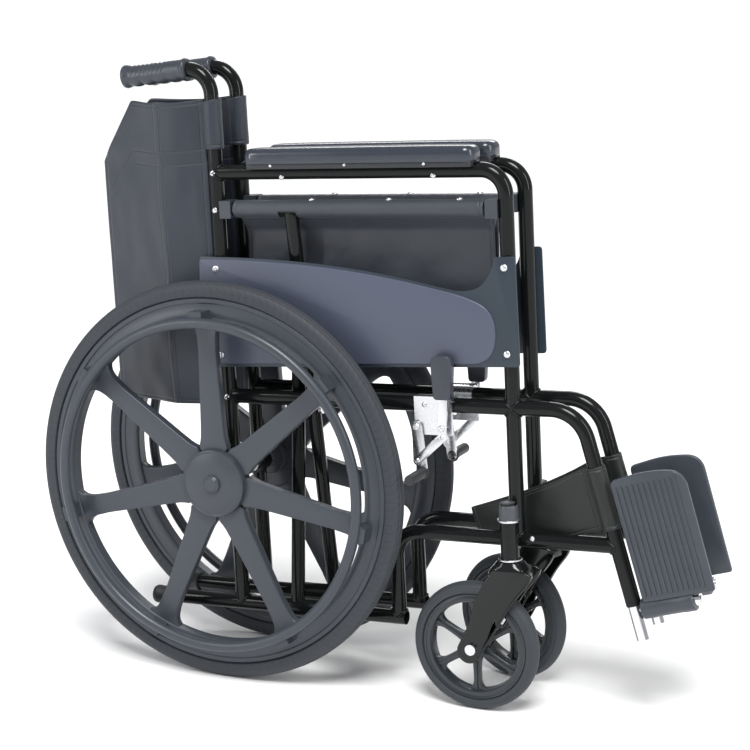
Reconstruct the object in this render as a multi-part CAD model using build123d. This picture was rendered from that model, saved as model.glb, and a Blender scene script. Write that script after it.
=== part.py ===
"""Folding manual wheelchair, modelled folded. Millimetres, +X forward, +Z up, mid-plane y = 0.

Everything is laid out on a bench where the back canes stand upright and the rails lie level.
The finished pieces are then raked back about the rear axle so that all four wheels meet the floor.
"""
import os
from math import asin, cos, degrees, radians, sin, sqrt

from build123d import *

# ---- frame ---------------------------------------------------------------------------------
RAKE = 2.6
TUBE_R = 11.0
TUBE_WALL = 1.6
FRAME_Y = 38.5
OPEN_Y = 230.0
AXLE_Z = 305.0
BOTTOM_Z = 100.0
LOWER_Z = 234.0
UPPER_Z = 426.0
SEAT_Z = 709.0
ARM_Z = 763.0
CANE_TOP_Z = 918.0
CANE_BEND = 38.0
CANE_END = (-130.0, 909.0)
UPRIGHT_X = 457.0
ARM_BEND = 36.0
RISER_X = 265.0
RISER_BEND = 40.0
TIP_X = -154.0
TIP_CAP_R = 13.0
TIP_CAP_LENGTH = 34.0
HANGER_TOP_X = 555.5
HANGER_LEAN = 14.6
HANGER_BEND = 55.0
HANGER_END_Z = 150.0

# ---- clearances ----------------------------------------------------------------------------
RUN = 0.05
FACE_GAP = 0.3
PLAY = 0.6

# ---- rear wheel ----------------------------------------------------------------------------
WHEEL_Y = 94.0
TYRE_R = 305.0
TYRE_W = 26.0
RIM_R = 281.0
RIM_IN_R = 247.0
RIM_W = 22.0
SPOKES = 7
SPOKE_W_HUB = 40.0
SPOKE_W_RIM = 26.0
SPOKE_T = 15.0
HUB_R = 49.0
HUB_T = 24.0
BOSS_R = 27.0
BOSS_IN = 23.0
CAP_R = 19.0
BOSS_OUT = 22.5
AXLE_R = 6.0
AXLE_COLLAR_R = 10.0
NUT_POCKET_R = 13.0
NUT_POCKET_T = 9.0
RECEIVER_R = 15.0
HANDRIM_R = 247.0
HANDRIM_TUBE_R = 8.0
HANDRIM_OUT = 36.0
LUG = (22.0, 16.0)

# ---- caster --------------------------------------------------------------------------------
STEM_X = 454.0
STEM_Y = 63.5
STEM_R = 6.0
TRAIL = 57.0
CASTER_R = 96.0
CASTER_W = 28.0
CASTER_RIM_R = 80.0
CASTER_RIM_IN_R = 67.0
CASTER_RIM_W = 24.0
CASTER_SPOKES = 6
CASTER_SPOKE_W = 15.0
CASTER_HUB_R = 17.0
CASTER_HUB_W = 34.0
CASTER_BOLT_R = 4.0
CASTER_BOLT_HEAD_R = 8.0
HOUSING_R = 13.5
HOUSING_Z = (209.0, 268.0)
HOUSING_CAP = (12.5, 26.0)
FORK_LEG_T = 5.0
CROWN_Z = (181.0, 208.0)
LEFT_CASTER_YAW = 17.0

# ---- fold and upholstery -------------------------------------------------------------------
STRUT_A_X = 95.0
STRUT_B_X = 121.0
STRUT_R = 10.4
SLEEVE_R = 14.0
SLEEVE_X = (60.0, 190.0)
PIVOT_R = 5.0
PIVOT_HEAD_R = 9.0
RAIL_X = (14.0, 442.0)
GUIDE_X = ((8.5, 27.0), (430.0, 448.5))
GUIDE_HALF = 13.0
GUIDE_GAP = 1.0
CLOTH = 2.4
PIPING_R = 1.5
SEAT_X = (30.0, 427.0)
SEAT_EDGE = 45.0
SEAT_SAG = 6.0
SEAT_DROP = 145.0
STRUT_NOTCH_Z = 592.0
STRUT_NOTCH_X = (76.0, 140.0)
BACK_Z = (412.0, 872.0)
BACK_SLEEVE_Z = 798.0
BACK_SIDE = 88.0
BACK_SIDE_OUT = 8.5
BACK_CENTRE = 104.0
BACK_CENTRE_FULL = 143.0
CALF_LENGTH = 183.0
CALF_IN = 9.9
CALF_HALF_H = 46.0
CALF_MID_Z = 303.0

# ---- arm, guard, grip ----------------------------------------------------------------------
PAD_X = (58.0, 417.0)
PAD_W = 46.0
PAD_Z = (768.0, 799.0)
GUARD_IN = 53.4
GUARD_T = 2.5
GUARD_RAISED = 2.8
GUARD_BOTTOM = ((-39.0, 472.0), (476.0, 488.0))
GUARD_TOP = ((-28.0, 640.0), (136.0, 634.0), (294.0, 613.0), (390.0, 592.5))
GUARD_NOTCH = ((390.0, 592.5), (424.0, 602.0), (443.0, 642.0))
GUARD_FRONT_TOP = (474.0, 644.0)
GUARD_RAISED_FRONT = ((425.0, 578.0), (442.0, 545.0), (437.0, 508.0), (418.0, 493.0))
GUARD_POSTS = ((UPRIGHT_X, 628.0), (UPRIGHT_X, 506.0), (0.0, 622.0), (0.0, 492.0))
POST_R = 5.0
GRIP_R = 15.5
GRIP_FRONT_X = -36.0
GRIP_RIBS = 6

# ---- brake ---------------------------------------------------------------------------------
BRAKE_X = (310.0, 368.0)
BRAKE_Z = (384.0, 440.0)
BRAKE_T = 3.2
LEVER_PIVOT = (356.0, 396.0)
ARM_PIVOT = (314.0, 396.0)
BRAKE_PIN_R = 4.0
LINK_PIN_R = 2.5
LEVER_CRANK = 12.0
ARM_CRANK = 50.0
SHOE_AT = (320.5, 328.0)
SHOE_R = 8.0
LEVER_TOP = (361.0, 446.0)
LEVER_GRIP = (362.0, 503.0)
LEVER_GRIP_R = 8.0
ARM_Y = (54.2, 58.0)
LINK_Y = (58.6, 60.4)
LEVER_Y = (61.0, 64.6)

# ---- footrest ------------------------------------------------------------------------------
STEM_END_Z = 101.0
STEM_INSIDE = 94.0
PLATE_PIVOT_Z = 143.0
PLATE_ROD_R = 5.0
PLATE_ROD = 100.0
PLATE_BOSS_R = 15.0
PLATE_BOSS = (12.0, 90.0)
PLATE_U = (18.0, 124.0)
PLATE_V = (10.0, 192.0)
PLATE_T = 8.0
PLATE_OUT = 4.0
PLATE_RIB_H = 1.4
PLATE_RIBS = 12

# ---- derived -------------------------------------------------------------------------------
STRUT_L = sqrt((SEAT_Z - BOTTOM_Z) ** 2 + (2 * FRAME_Y) ** 2)
REST_LEAN = degrees(asin(2 * FRAME_Y / STRUT_L))
FOLD_RANGE = degrees(asin(2 * OPEN_Y / STRUT_L)) - REST_LEAN
LEAN_X = sin(radians(HANGER_LEAN))
LEAN_Z = cos(radians(HANGER_LEAN))


def hanger_x(z):
    return HANGER_TOP_X + (UPPER_Z - z) * LEAN_X / LEAN_Z


STEM_R_FOOT = TUBE_R - TUBE_WALL - RUN
CASTER_X = STEM_X - TRAIL
CASTER_Z = AXLE_Z + (CASTER_R - AXLE_Z - CASTER_X * sin(radians(RAKE))) / cos(radians(RAKE))
SEAT_EDGE_ANGLE = FOLD_RANGE + SEAT_SAG
SEAT_HINGE = (-FRAME_Y + SEAT_EDGE * cos(radians(SEAT_EDGE_ANGLE)),
              SEAT_Z - SEAT_EDGE * sin(radians(SEAT_EDGE_ANGLE)))
SEAM = (-BACK_SIDE * cos(radians(BACK_SIDE_OUT)), -FRAME_Y - BACK_SIDE * sin(radians(BACK_SIDE_OUT)))
BACK_CENTRE_IN = degrees(asin(-SEAM[1] / BACK_CENTRE_FULL))
PLATE_ORIGIN = (hanger_x(PLATE_PIVOT_Z), -FRAME_Y, PLATE_PIVOT_Z)
CALF_ORIGIN = (hanger_x(CALF_MID_Z), -FRAME_Y, CALF_MID_Z)
LEVER_TAIL = (LEVER_PIVOT[0] + 1.0, LEVER_PIVOT[1] - LEVER_CRANK)
ARM_PIN = (ARM_PIVOT[0], ARM_PIVOT[1] - ARM_CRANK)


# ---- shared shapes -------------------------------------------------------------------------
def rod(start, end, radius):
    """Solid cylinder from start to end."""
    along = Vector(*end) - Vector(*start)
    bar = Cylinder(radius, along.length, align=(Align.CENTER, Align.CENTER, Align.MIN))
    return Plane(origin=start, z_dir=along) * bar


def ring(start, end, outer, inner):
    """Cylinder from start to end with a bore right through."""
    return rod(start, end, outer) - rod(start, end, inner)


def bent(points, bend, radius):
    """Solid bar swept along straight runs joined by arcs."""
    path = FilletPolyline(*points, radius=bend)
    return sweep(Plane(origin=path @ 0, z_dir=path % 0) * Circle(radius), path=path)


def bent_tube(points, bend):
    return bent(points, bend, TUBE_R) - bent(points, bend, TUBE_R - TUBE_WALL)


def block(x, y, z):
    """Box between two values on each axis."""
    size = (x[1] - x[0], y[1] - y[0], z[1] - z[0])
    return Pos(x[0], y[0], z[0]) * Box(*size, align=(Align.MIN, Align.MIN, Align.MIN))


def slab(points, inner, outer):
    """Flat plate with an outline in X and Z, from y = -inner to y = -outer."""
    face = make_face(Polyline(*[(x, -inner, z) for x, z in points], close=True))
    return extrude(face, amount=outer - inner, dir=(0, -1, 0))


def link_plate(start, end, width, inner, outer):
    """Flat bar with round ends between two points in X and Z."""
    a = rod((start[0], -inner, start[1]), (start[0], -outer, start[1]), width)
    b = rod((end[0], -inner, end[1]), (end[0], -outer, end[1]), width)
    run = Vector(end[0] - start[0], 0, end[1] - start[1])
    side = Vector(run.Z, 0, -run.X).normalized() * width
    corners = [(start[0] + side.X, start[1] + side.Z), (end[0] + side.X, end[1] + side.Z),
               (end[0] - side.X, end[1] - side.Z), (start[0] - side.X, start[1] - side.Z)]
    return a + b + slab(corners, inner, outer)


def pin(at, inner, outer, radius):
    """Round pin or hole cutter across the chair."""
    return rod((at[0], -inner, at[1]), (at[0], -outer, at[1]), radius)


# ---- frame tubes, right side ---------------------------------------------------------------
CANE_PATH = [(0, -FRAME_Y, BOTTOM_Z), (0, -FRAME_Y, CANE_TOP_Z), (CANE_END[0], -FRAME_Y, CANE_END[1])]
UPPER_PATH = [(0, -FRAME_Y, UPPER_Z), (HANGER_TOP_X, -FRAME_Y, UPPER_Z),
              (hanger_x(HANGER_END_Z), -FRAME_Y, HANGER_END_Z)]
ARM_PATH = [(0, -FRAME_Y, ARM_Z), (UPRIGHT_X, -FRAME_Y, ARM_Z), (UPRIGHT_X, -FRAME_Y, UPPER_Z)]
LOWER_PATH = [(RISER_X, -FRAME_Y, BOTTOM_Z), (RISER_X, -FRAME_Y, LOWER_Z),
              (hanger_x(LOWER_Z), -FRAME_Y, LOWER_Z)]


def cane():
    tube = bent_tube(CANE_PATH, CANE_BEND) - bottom_bar(TUBE_R)
    receiver = rod((0, -FRAME_Y + RECEIVER_R, AXLE_Z), (0, -FRAME_Y - RECEIVER_R, AXLE_Z), RECEIVER_R)
    shape = tube + receiver
    return shape - rod((0, 0, AXLE_Z), (0, -WHEEL_Y, AXLE_Z), AXLE_R)


def bottom_bar(radius):
    return rod((TIP_X + 2, -FRAME_Y, BOTTOM_Z), (RISER_X + TUBE_R, -FRAME_Y, BOTTOM_Z), radius)


def upper_rail():
    return bent_tube(UPPER_PATH, HANGER_BEND) - bent(CANE_PATH, CANE_BEND, TUBE_R)


def arm_tube():
    tube = bent_tube(ARM_PATH, ARM_BEND)
    return tube - bent(CANE_PATH, CANE_BEND, TUBE_R) - bent(UPPER_PATH, HANGER_BEND, TUBE_R)


def lower_frame():
    bore = TUBE_R - TUBE_WALL
    loop = bent(LOWER_PATH, RISER_BEND, TUBE_R) + bottom_bar(TUBE_R)
    loop += rod((TIP_X, -FRAME_Y, BOTTOM_Z), (TIP_X + TIP_CAP_LENGTH, -FRAME_Y, BOTTOM_Z), TIP_CAP_R)
    loop -= bent(LOWER_PATH, RISER_BEND, bore)
    loop -= rod((TIP_X + TIP_CAP_LENGTH, -FRAME_Y, BOTTOM_Z), (RISER_X + 30, -FRAME_Y, BOTTOM_Z), bore)
    return loop - bent(UPPER_PATH, HANGER_BEND, TUBE_R)


def caster_housing():
    post = rod((UPRIGHT_X, -FRAME_Y, LOWER_Z), (UPRIGHT_X, -FRAME_Y, UPPER_Z), TUBE_R)
    low, high = HOUSING_Z
    web = block((STEM_X - 8, STEM_X + 8), (-STEM_Y, -FRAME_Y), (low + 40, high - 4))
    barrel = rod((STEM_X, -STEM_Y, low), (STEM_X, -STEM_Y, high), HOUSING_R)
    cap = rod((STEM_X, -STEM_Y, high), (STEM_X, -STEM_Y, high + HOUSING_CAP[1]), HOUSING_CAP[0])
    post_bore = rod((UPRIGHT_X, -FRAME_Y, 0), (UPRIGHT_X, -FRAME_Y, AXLE_Z * 2), TUBE_R - TUBE_WALL)
    shape = post + web + barrel + cap - post_bore
    shape -= bent(LOWER_PATH, RISER_BEND, TUBE_R) + bent(UPPER_PATH, HANGER_BEND, TUBE_R)
    return shape - rod((STEM_X, -STEM_Y, 0), (STEM_X, -STEM_Y, high - 2), STEM_R + RUN)


# ---- arm pad, guard, grip ------------------------------------------------------------------
def arm_pad():
    width = (-FRAME_Y - PAD_W / 2, -FRAME_Y + PAD_W / 2)
    pad = block(PAD_X, width, PAD_Z)
    pad = fillet(pad.edges().filter_by(Axis.Z), 14)
    pad = fillet(pad.edges().group_by(Axis.Z)[-1], 7)
    return pad - bent(ARM_PATH, ARM_BEND, TUBE_R)


def guard_face(outline, inner, outer):
    face = make_face([Spline(*[(x, -inner, z) for x, z in GUARD_TOP])] + outline)
    return extrude(face, amount=outer - inner, dir=(0, -1, 0))


def side_guard():
    def at(point, y):
        return (point[0], -y, point[1])

    y = GUARD_IN
    notch = Spline(*[at(p, y) for p in GUARD_NOTCH])
    rest = Polyline(at(GUARD_NOTCH[-1], y), at(GUARD_FRONT_TOP, y), at(GUARD_BOTTOM[1], y),
                    at(GUARD_BOTTOM[0], y), at(GUARD_TOP[0], y))
    shape = guard_face([notch, rest], y, y + GUARD_T)
    y = GUARD_IN + GUARD_T
    nose = Spline(*[at(p, y) for p in (GUARD_TOP[-1], *GUARD_RAISED_FRONT)])
    back = Polyline(at(GUARD_RAISED_FRONT[-1], y), at(GUARD_BOTTOM[0], y), at(GUARD_TOP[0], y))
    shape += guard_face([nose, back], y, y + GUARD_RAISED)
    for post in GUARD_POSTS:
        shape += pin(post, FRAME_Y, GUARD_IN, POST_R) - rod((post[0], -FRAME_Y, 0), (post[0], -FRAME_Y, 900),
                                                            TUBE_R)
    return shape


def grip():
    """Rubber sleeve with raised rings; a closed dome covers the tube end."""
    end = Vector(CANE_END[0], -FRAME_Y, CANE_END[1])
    corner = Vector(0, -FRAME_Y, CANE_TOP_Z)
    back = (end - corner).normalized()
    front = corner + back * (-GRIP_FRONT_X)
    length = (end - front).length + 4
    tail = front + back * length
    shape = rod(front, tail, GRIP_R)
    pitch = length / (GRIP_RIBS + 1)
    for i in range(1, GRIP_RIBS + 1):
        mid = front + back * (pitch * i)
        groove = ring((mid - back * 2), (mid + back * 2), GRIP_R + 2, GRIP_R - 1.5)
        shape -= groove
    shape += rod((tail - back * 4), tail, GRIP_R + 2.5)
    return shape - bent(CANE_PATH, CANE_BEND, TUBE_R)


# ---- rear wheel, built flat with +Z outboard -----------------------------------------------
def wheel_place(x, y, z):
    return Plane(origin=(x, -y, z), x_dir=(1, 0, 0), z_dir=(0, -1, 0))


def disc(radius, low, high):
    return Pos(0, 0, low) * Cylinder(radius, high - low, align=(Align.CENTER, Align.CENTER, Align.MIN))


def spoke(hub_w, rim_w, reach, thick):
    outline = Polyline((0, -hub_w / 2), (reach, -rim_w / 2), (reach, rim_w / 2), (0, hub_w / 2), close=True)
    return Pos(0, 0, -thick / 2) * extrude(make_face(outline), amount=thick)


def rear_rim():
    band = disc(RIM_R, -RIM_W / 2, RIM_W / 2) - disc(RIM_IN_R, -RIM_W / 2, RIM_W / 2)
    shape = band + disc(HUB_R, -HUB_T / 2, HUB_T / 2) + disc(BOSS_R, -BOSS_IN, HUB_T / 2 + 4)
    shape += disc(CAP_R, 0, BOSS_OUT)
    for i in range(SPOKES):
        arm = spoke(SPOKE_W_HUB, SPOKE_W_RIM, RIM_IN_R + 6, SPOKE_T)
        shape += Rot(0, 0, 90 + 360 / SPOKES * i) * arm
    pocket = BOSS_OUT - 4
    shape -= disc(AXLE_R + RUN, -BOSS_IN, pocket - NUT_POCKET_T)
    shape -= disc(NUT_POCKET_R, pocket - NUT_POCKET_T, pocket)
    return wheel_place(0, WHEEL_Y, AXLE_Z) * shape


def tyre_section(inner, outer, width, corner):
    """Half-round tread on a flat base, drawn in radius and width."""
    sketch = Pos((inner + outer) / 2, 0) * Rectangle(outer - inner, width)
    return fillet(sketch.vertices().group_by(Axis.X)[-1], corner)


def tyre(inner, outer, width, corner):
    section = Plane.XZ * tyre_section(inner, outer, width, corner)
    return revolve(section, axis=Axis.Z)


def rear_tyre():
    return wheel_place(0, WHEEL_Y, AXLE_Z) * tyre(RIM_R, TYRE_R, TYRE_W, TYRE_W / 2 - 1)


def handrim():
    shape = Pos(0, 0, HANDRIM_OUT) * Torus(HANDRIM_R, HANDRIM_TUBE_R)
    for i in range(SPOKES):
        lug = Pos(HANDRIM_R + LUG[1] / 2, 0, RIM_W / 2) * Box(
            LUG[1], LUG[0], HANDRIM_OUT - RIM_W / 2, align=(Align.CENTER, Align.CENTER, Align.MIN))
        shape += Rot(0, 0, 90 + 360 / SPOKES * i) * lug
    return wheel_place(0, WHEEL_Y, AXLE_Z) * shape


def rear_axle():
    """Bolt through the cane's receiver, with a spacer collar and a captive outer nut."""
    inner = FRAME_Y - RECEIVER_R
    pocket_start = WHEEL_Y + BOSS_OUT - 4 - NUT_POCKET_T
    shape = pin((0, AXLE_Z), inner - 7, pocket_start + NUT_POCKET_T - 2, AXLE_R)
    shape += pin((0, AXLE_Z), inner - 7, inner, AXLE_COLLAR_R)
    shape += pin((0, AXLE_Z), FRAME_Y + RECEIVER_R, WHEEL_Y - BOSS_IN - FACE_GAP, AXLE_COLLAR_R)
    shape += pin((0, AXLE_Z), pocket_start + FACE_GAP, pocket_start + NUT_POCKET_T - 2, AXLE_COLLAR_R)
    return shape


# ---- caster --------------------------------------------------------------------------------
def caster_fork():
    low, high = CROWN_Z
    inside = CASTER_HUB_W / 2 + FACE_GAP
    outside = inside + FORK_LEG_T
    crown = block((STEM_X - 26, STEM_X + 26), (-STEM_Y - outside, -STEM_Y + outside), (low, high))
    crown = fillet(crown.edges().filter_by(Axis.Z), 10)
    stem = rod((STEM_X, -STEM_Y, high - 1), (STEM_X, -STEM_Y, HOUSING_Z[1] - 4), STEM_R)
    leg = [(STEM_X - 22, high - 4), (STEM_X + 26, high - 6), (STEM_X + 30, low), (STEM_X + 11, low - 28),
           (CASTER_X + 15, CASTER_Z - 4), (CASTER_X - 14, CASTER_Z - 2), (CASTER_X + 3, low - 60),
           (STEM_X - 36, low - 7)]
    shape = crown + stem
    for side in (-1, 1):
        edges = sorted((STEM_Y + side * inside, STEM_Y + side * outside))
        shape += slab(leg, edges[0], edges[1])
        shape += pin((CASTER_X, CASTER_Z), edges[0], edges[1], 14.5)
    return shape - pin((CASTER_X, CASTER_Z), 0, 2 * STEM_Y, CASTER_BOLT_R)


def caster_rim():
    half = CASTER_RIM_W / 2
    shape = disc(CASTER_RIM_R, -half, half) - disc(CASTER_RIM_IN_R, -half, half)
    shape += disc(CASTER_HUB_R, -CASTER_HUB_W / 2, CASTER_HUB_W / 2)
    for i in range(CASTER_SPOKES):
        arm = spoke(CASTER_SPOKE_W + 4, CASTER_SPOKE_W, CASTER_RIM_IN_R + 3, 12)
        shape += Rot(0, 0, 90 + 360 / CASTER_SPOKES * i) * arm
    shape -= disc(CASTER_BOLT_R + RUN, -CASTER_HUB_W, CASTER_HUB_W)
    return wheel_place(CASTER_X, STEM_Y, CASTER_Z) * shape


def caster_tyre():
    return wheel_place(CASTER_X, STEM_Y, CASTER_Z) * tyre(CASTER_RIM_R, CASTER_R, CASTER_W, 10)


def caster_axle():
    reach = CASTER_HUB_W / 2 + FACE_GAP + FORK_LEG_T
    shape = pin((CASTER_X, CASTER_Z), STEM_Y - reach - 5, STEM_Y + reach + 5, CASTER_BOLT_R)
    shape += pin((CASTER_X, CASTER_Z), STEM_Y - reach - 5, STEM_Y - reach, CASTER_BOLT_HEAD_R)
    return shape + pin((CASTER_X, CASTER_Z), STEM_Y + reach, STEM_Y + reach + 5, CASTER_BOLT_HEAD_R)


# ---- brake ---------------------------------------------------------------------------------
def brake_bracket():
    face = FRAME_Y + TUBE_R
    plate = block(BRAKE_X, (-face - BRAKE_T, -face), BRAKE_Z)
    clamp = rod((BRAKE_X[0], -FRAME_Y, UPPER_Z), (BRAKE_X[1], -FRAME_Y, UPPER_Z), TUBE_R + BRAKE_T)
    shape = plate + clamp
    shape -= rod((BRAKE_X[0], -FRAME_Y, UPPER_Z), (BRAKE_X[1], -FRAME_Y, UPPER_Z), TUBE_R)
    shape += pin(ARM_PIVOT, face, ARM_Y[1] + 3, BRAKE_PIN_R)
    return shape + pin(LEVER_PIVOT, face, LEVER_Y[1] + 3, BRAKE_PIN_R)


def brake_shoe():
    shape = link_plate(ARM_PIVOT, SHOE_AT, 9, ARM_Y[0], ARM_Y[1])
    shape += link_plate(ARM_PIVOT, ARM_PIN, 7, ARM_Y[0], ARM_Y[1])
    shape += pin(SHOE_AT, ARM_Y[0], WHEEL_Y + TYRE_W / 2 + 1, SHOE_R)
    shape += pin(ARM_PIN, ARM_Y[1] - 1, LINK_Y[1] + 0.3, LINK_PIN_R)
    return shape - pin(ARM_PIVOT, 0, WHEEL_Y, BRAKE_PIN_R + RUN)


def brake_link():
    shape = link_plate(LEVER_TAIL, ARM_PIN, 6, LINK_Y[0], LINK_Y[1])
    shape -= pin(LEVER_TAIL, 0, WHEEL_Y, LINK_PIN_R + RUN)
    return shape - pin(ARM_PIN, 0, WHEEL_Y, LINK_PIN_R + PLAY)


def brake_lever():
    shape = link_plate(LEVER_PIVOT, LEVER_TOP, 7, LEVER_Y[0], LEVER_Y[1])
    shape += link_plate(LEVER_PIVOT, LEVER_TAIL, 6, LEVER_Y[0], LEVER_Y[1])
    mid = LEVER_Y[0] + LEVER_GRIP_R
    shape += rod((LEVER_TOP[0], -mid, LEVER_TOP[1] - 6), (LEVER_GRIP[0], -mid, LEVER_GRIP[1]), LEVER_GRIP_R)
    shape += pin(LEVER_TAIL, LINK_Y[0] + 0.1, LEVER_Y[0] + 1, LINK_PIN_R)
    return shape - pin(LEVER_PIVOT, 0, WHEEL_Y, BRAKE_PIN_R + RUN)


# ---- footrest ------------------------------------------------------------------------------
def footrest_plane():
    """Local frame at the footplate pivot: x along the pivot rod, y up the hanger, z outboard."""
    return Plane(origin=PLATE_ORIGIN, x_dir=(LEAN_Z, 0, LEAN_X), z_dir=(0, -1, 0))


def footrest_stem():
    end = (hanger_x(STEM_END_Z), -FRAME_Y, STEM_END_Z)
    top_z = HANGER_END_Z + STEM_INSIDE
    shape = rod(end, (hanger_x(top_z), -FRAME_Y, top_z), STEM_R_FOOT)
    place = footrest_plane()
    axle = Rot(0, 90, 0) * Cylinder(PLATE_ROD_R, PLATE_ROD, align=(Align.CENTER, Align.CENTER, Align.MIN))
    nut = Pos(PLATE_BOSS[1] + FACE_GAP, 0, 0) * Rot(0, 90, 0) * Cylinder(
        9, 8, align=(Align.CENTER, Align.CENTER, Align.MIN))
    return shape + place * (axle + nut)


def footplate():
    place = footrest_plane()
    length = PLATE_BOSS[1] - PLATE_BOSS[0]
    boss = Pos(PLATE_BOSS[0], 0, 0) * Rot(0, 90, 0) * Cylinder(
        PLATE_BOSS_R, length, align=(Align.CENTER, Align.CENTER, Align.MIN))
    plate = block(PLATE_U, PLATE_V, (PLATE_OUT, PLATE_OUT + PLATE_T))
    corners = plate.edges().filter_by(Axis.Z).sort_by(Axis.Y)[-2:]
    plate = fillet(corners, 22)
    shape = boss + plate
    pitch = (PLATE_U[1] - PLATE_U[0] - 12) / PLATE_RIBS
    for i in range(PLATE_RIBS):
        start = PLATE_U[0] + 6 + pitch * (i + 0.25)
        shape += block((start, start + pitch / 2), (PLATE_BOSS_R + 8, PLATE_V[1] - 24),
                       (PLATE_OUT + PLATE_T - 0.5, PLATE_OUT + PLATE_T + PLATE_RIB_H))
    bore = Rot(0, 90, 0) * Cylinder(PLATE_ROD_R + RUN, 400)
    return place * (shape - bore)


# ---- cross brace: A leans from the right bottom rail to the left seat rail ------------------
def brace(strut_x, foot_side):
    foot = (strut_x, foot_side * FRAME_Y, BOTTOM_Z)
    head = (strut_x, -foot_side * FRAME_Y, SEAT_Z)
    rail = ((RAIL_X[0], head[1], SEAT_Z), (RAIL_X[1], head[1], SEAT_Z))
    sleeve = ((SLEEVE_X[0], foot[1], BOTTOM_Z), (SLEEVE_X[1], foot[1], BOTTOM_Z))
    shape = rod(foot, head, STRUT_R) + rod(*rail, TUBE_R) + rod(*sleeve, SLEEVE_R)
    shape -= rod(foot, head, STRUT_R - TUBE_WALL)
    shape -= rod(*rail, TUBE_R - TUBE_WALL)
    return shape - rod(*sleeve, TUBE_R + FACE_GAP)


def pivot_rod(radius):
    z = (BOTTOM_Z + SEAT_Z) / 2
    return rod((STRUT_A_X - TUBE_R - 5, 0, z), (STRUT_B_X + TUBE_R + 5, 0, z), radius)


def brace_a():
    return brace(STRUT_A_X, -1) - pivot_rod(PIVOT_R)


def brace_b():
    return mirror(brace(STRUT_B_X, -1), about=Plane.XZ) - pivot_rod(PIVOT_R + RUN)


def brace_bolt():
    z = (BOTTOM_Z + SEAT_Z) / 2
    a, b = STRUT_A_X - TUBE_R, STRUT_B_X + TUBE_R
    shape = pivot_rod(PIVOT_R)
    shape += rod((a - 5, 0, z), (a - FACE_GAP, 0, z), PIVOT_HEAD_R)
    shape += rod((b + FACE_GAP, 0, z), (b + 5, 0, z), PIVOT_HEAD_R)
    return shape + rod((STRUT_A_X + TUBE_R, 0, z), (STRUT_B_X - TUBE_R - FACE_GAP, 0, z), PIVOT_HEAD_R)


def rail_guides():
    """Plastic end blocks that ride the cane and the front upright; right side."""
    across = (-FRAME_Y - GUIDE_HALF, -FRAME_Y + GUIDE_HALF)
    tall = (SEAT_Z - GUIDE_HALF, SEAT_Z + GUIDE_HALF)
    shape = block(GUIDE_X[0], across, tall) + block(GUIDE_X[1], across, tall)
    for x in (0, UPRIGHT_X):
        shape -= rod((x, -FRAME_Y, 0), (x, -FRAME_Y, CANE_TOP_Z), TUBE_R + GUIDE_GAP)
    shape -= rod((RAIL_X[0] - 1, -FRAME_Y, SEAT_Z), (RAIL_X[1] + 1, -FRAME_Y, SEAT_Z), TUBE_R + RUN)
    return shape


# ---- upholstery, right side ----------------------------------------------------------------
def seat_edge():
    """Cloth sleeve on the seat rail and the strip that leaves it toward the middle."""
    start, end = (SEAT_X[0], -FRAME_Y, SEAT_Z), (SEAT_X[1], -FRAME_Y, SEAT_Z)
    strip = block(SEAT_X, (TUBE_R, SEAT_EDGE), (-CLOTH / 2, CLOTH / 2))
    strip = Pos(0, -FRAME_Y, SEAT_Z) * (Rot(-SEAT_EDGE_ANGLE, 0, 0) * strip)
    piping = rod((SEAT_X[0], *SEAT_HINGE), (SEAT_X[1], *SEAT_HINGE), PIPING_R)
    shape = rod(start, end, TUBE_R + CLOTH) + strip + piping
    shape -= block((STRUT_A_X - TUBE_R - 3, STRUT_B_X + TUBE_R + 3), (-2 * FRAME_Y, -FRAME_Y + 15),
                   (SEAT_Z - 40, SEAT_Z - 1))
    return shape - rod((0, -FRAME_Y, SEAT_Z), (UPRIGHT_X, -FRAME_Y, SEAT_Z), TUBE_R)


def seat_panel():
    y, z = SEAT_HINGE
    panel = block(SEAT_X, (y - CLOTH / 2, y + CLOTH / 2), (z - SEAT_DROP, z - PIPING_R - FACE_GAP))
    return panel - block(STRUT_NOTCH_X, (-FRAME_Y, FRAME_Y), (0, STRUT_NOTCH_Z))


def upright_cloth(origin, angle, start, end, low, high):
    """Standing strip from start to end along a compass angle, measured from +X toward +Y."""
    strip = block((start, end), (-CLOTH / 2, CLOTH / 2), (low, high))
    return Pos(origin[0], origin[1], 0) * (Rot(0, 0, angle) * strip)


def back_side():
    low, high = BACK_Z
    strip = upright_cloth((0, -FRAME_Y), 180 + BACK_SIDE_OUT, TUBE_R + 1, BACK_SIDE, low, high)
    piping = rod((*SEAM, low), (*SEAM, high), PIPING_R)
    sleeve = rod((0, -FRAME_Y, BACK_SLEEVE_Z), (0, -FRAME_Y, high), TUBE_R + FACE_GAP + CLOTH)
    bore = rod((0, -FRAME_Y, 0), (0, -FRAME_Y, high + 5), TUBE_R + FACE_GAP)
    return strip + sleeve + piping - bore


def back_centre():
    return upright_cloth(SEAM, 180 - BACK_CENTRE_IN, PIPING_R + FACE_GAP, BACK_CENTRE, *BACK_Z)


def calf_strap():
    """Sleeve on the hanger and a half strap square to it, running back to the middle."""
    place = Plane(origin=CALF_ORIGIN, x_dir=(LEAN_Z, 0, LEAN_X), z_dir=(-LEAN_X, 0, LEAN_Z))
    full = 2 * CALF_HALF_H
    sleeve = Cylinder(TUBE_R + FACE_GAP + CLOTH, full)
    strip = block((TUBE_R, CALF_LENGTH), (-CLOTH / 2, CLOTH / 2), (-CALF_HALF_H, CALF_HALF_H))
    shape = sleeve + Rot(0, 0, 180 - CALF_IN) * strip - Cylinder(TUBE_R + FACE_GAP, full * 2)
    return place * shape


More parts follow.
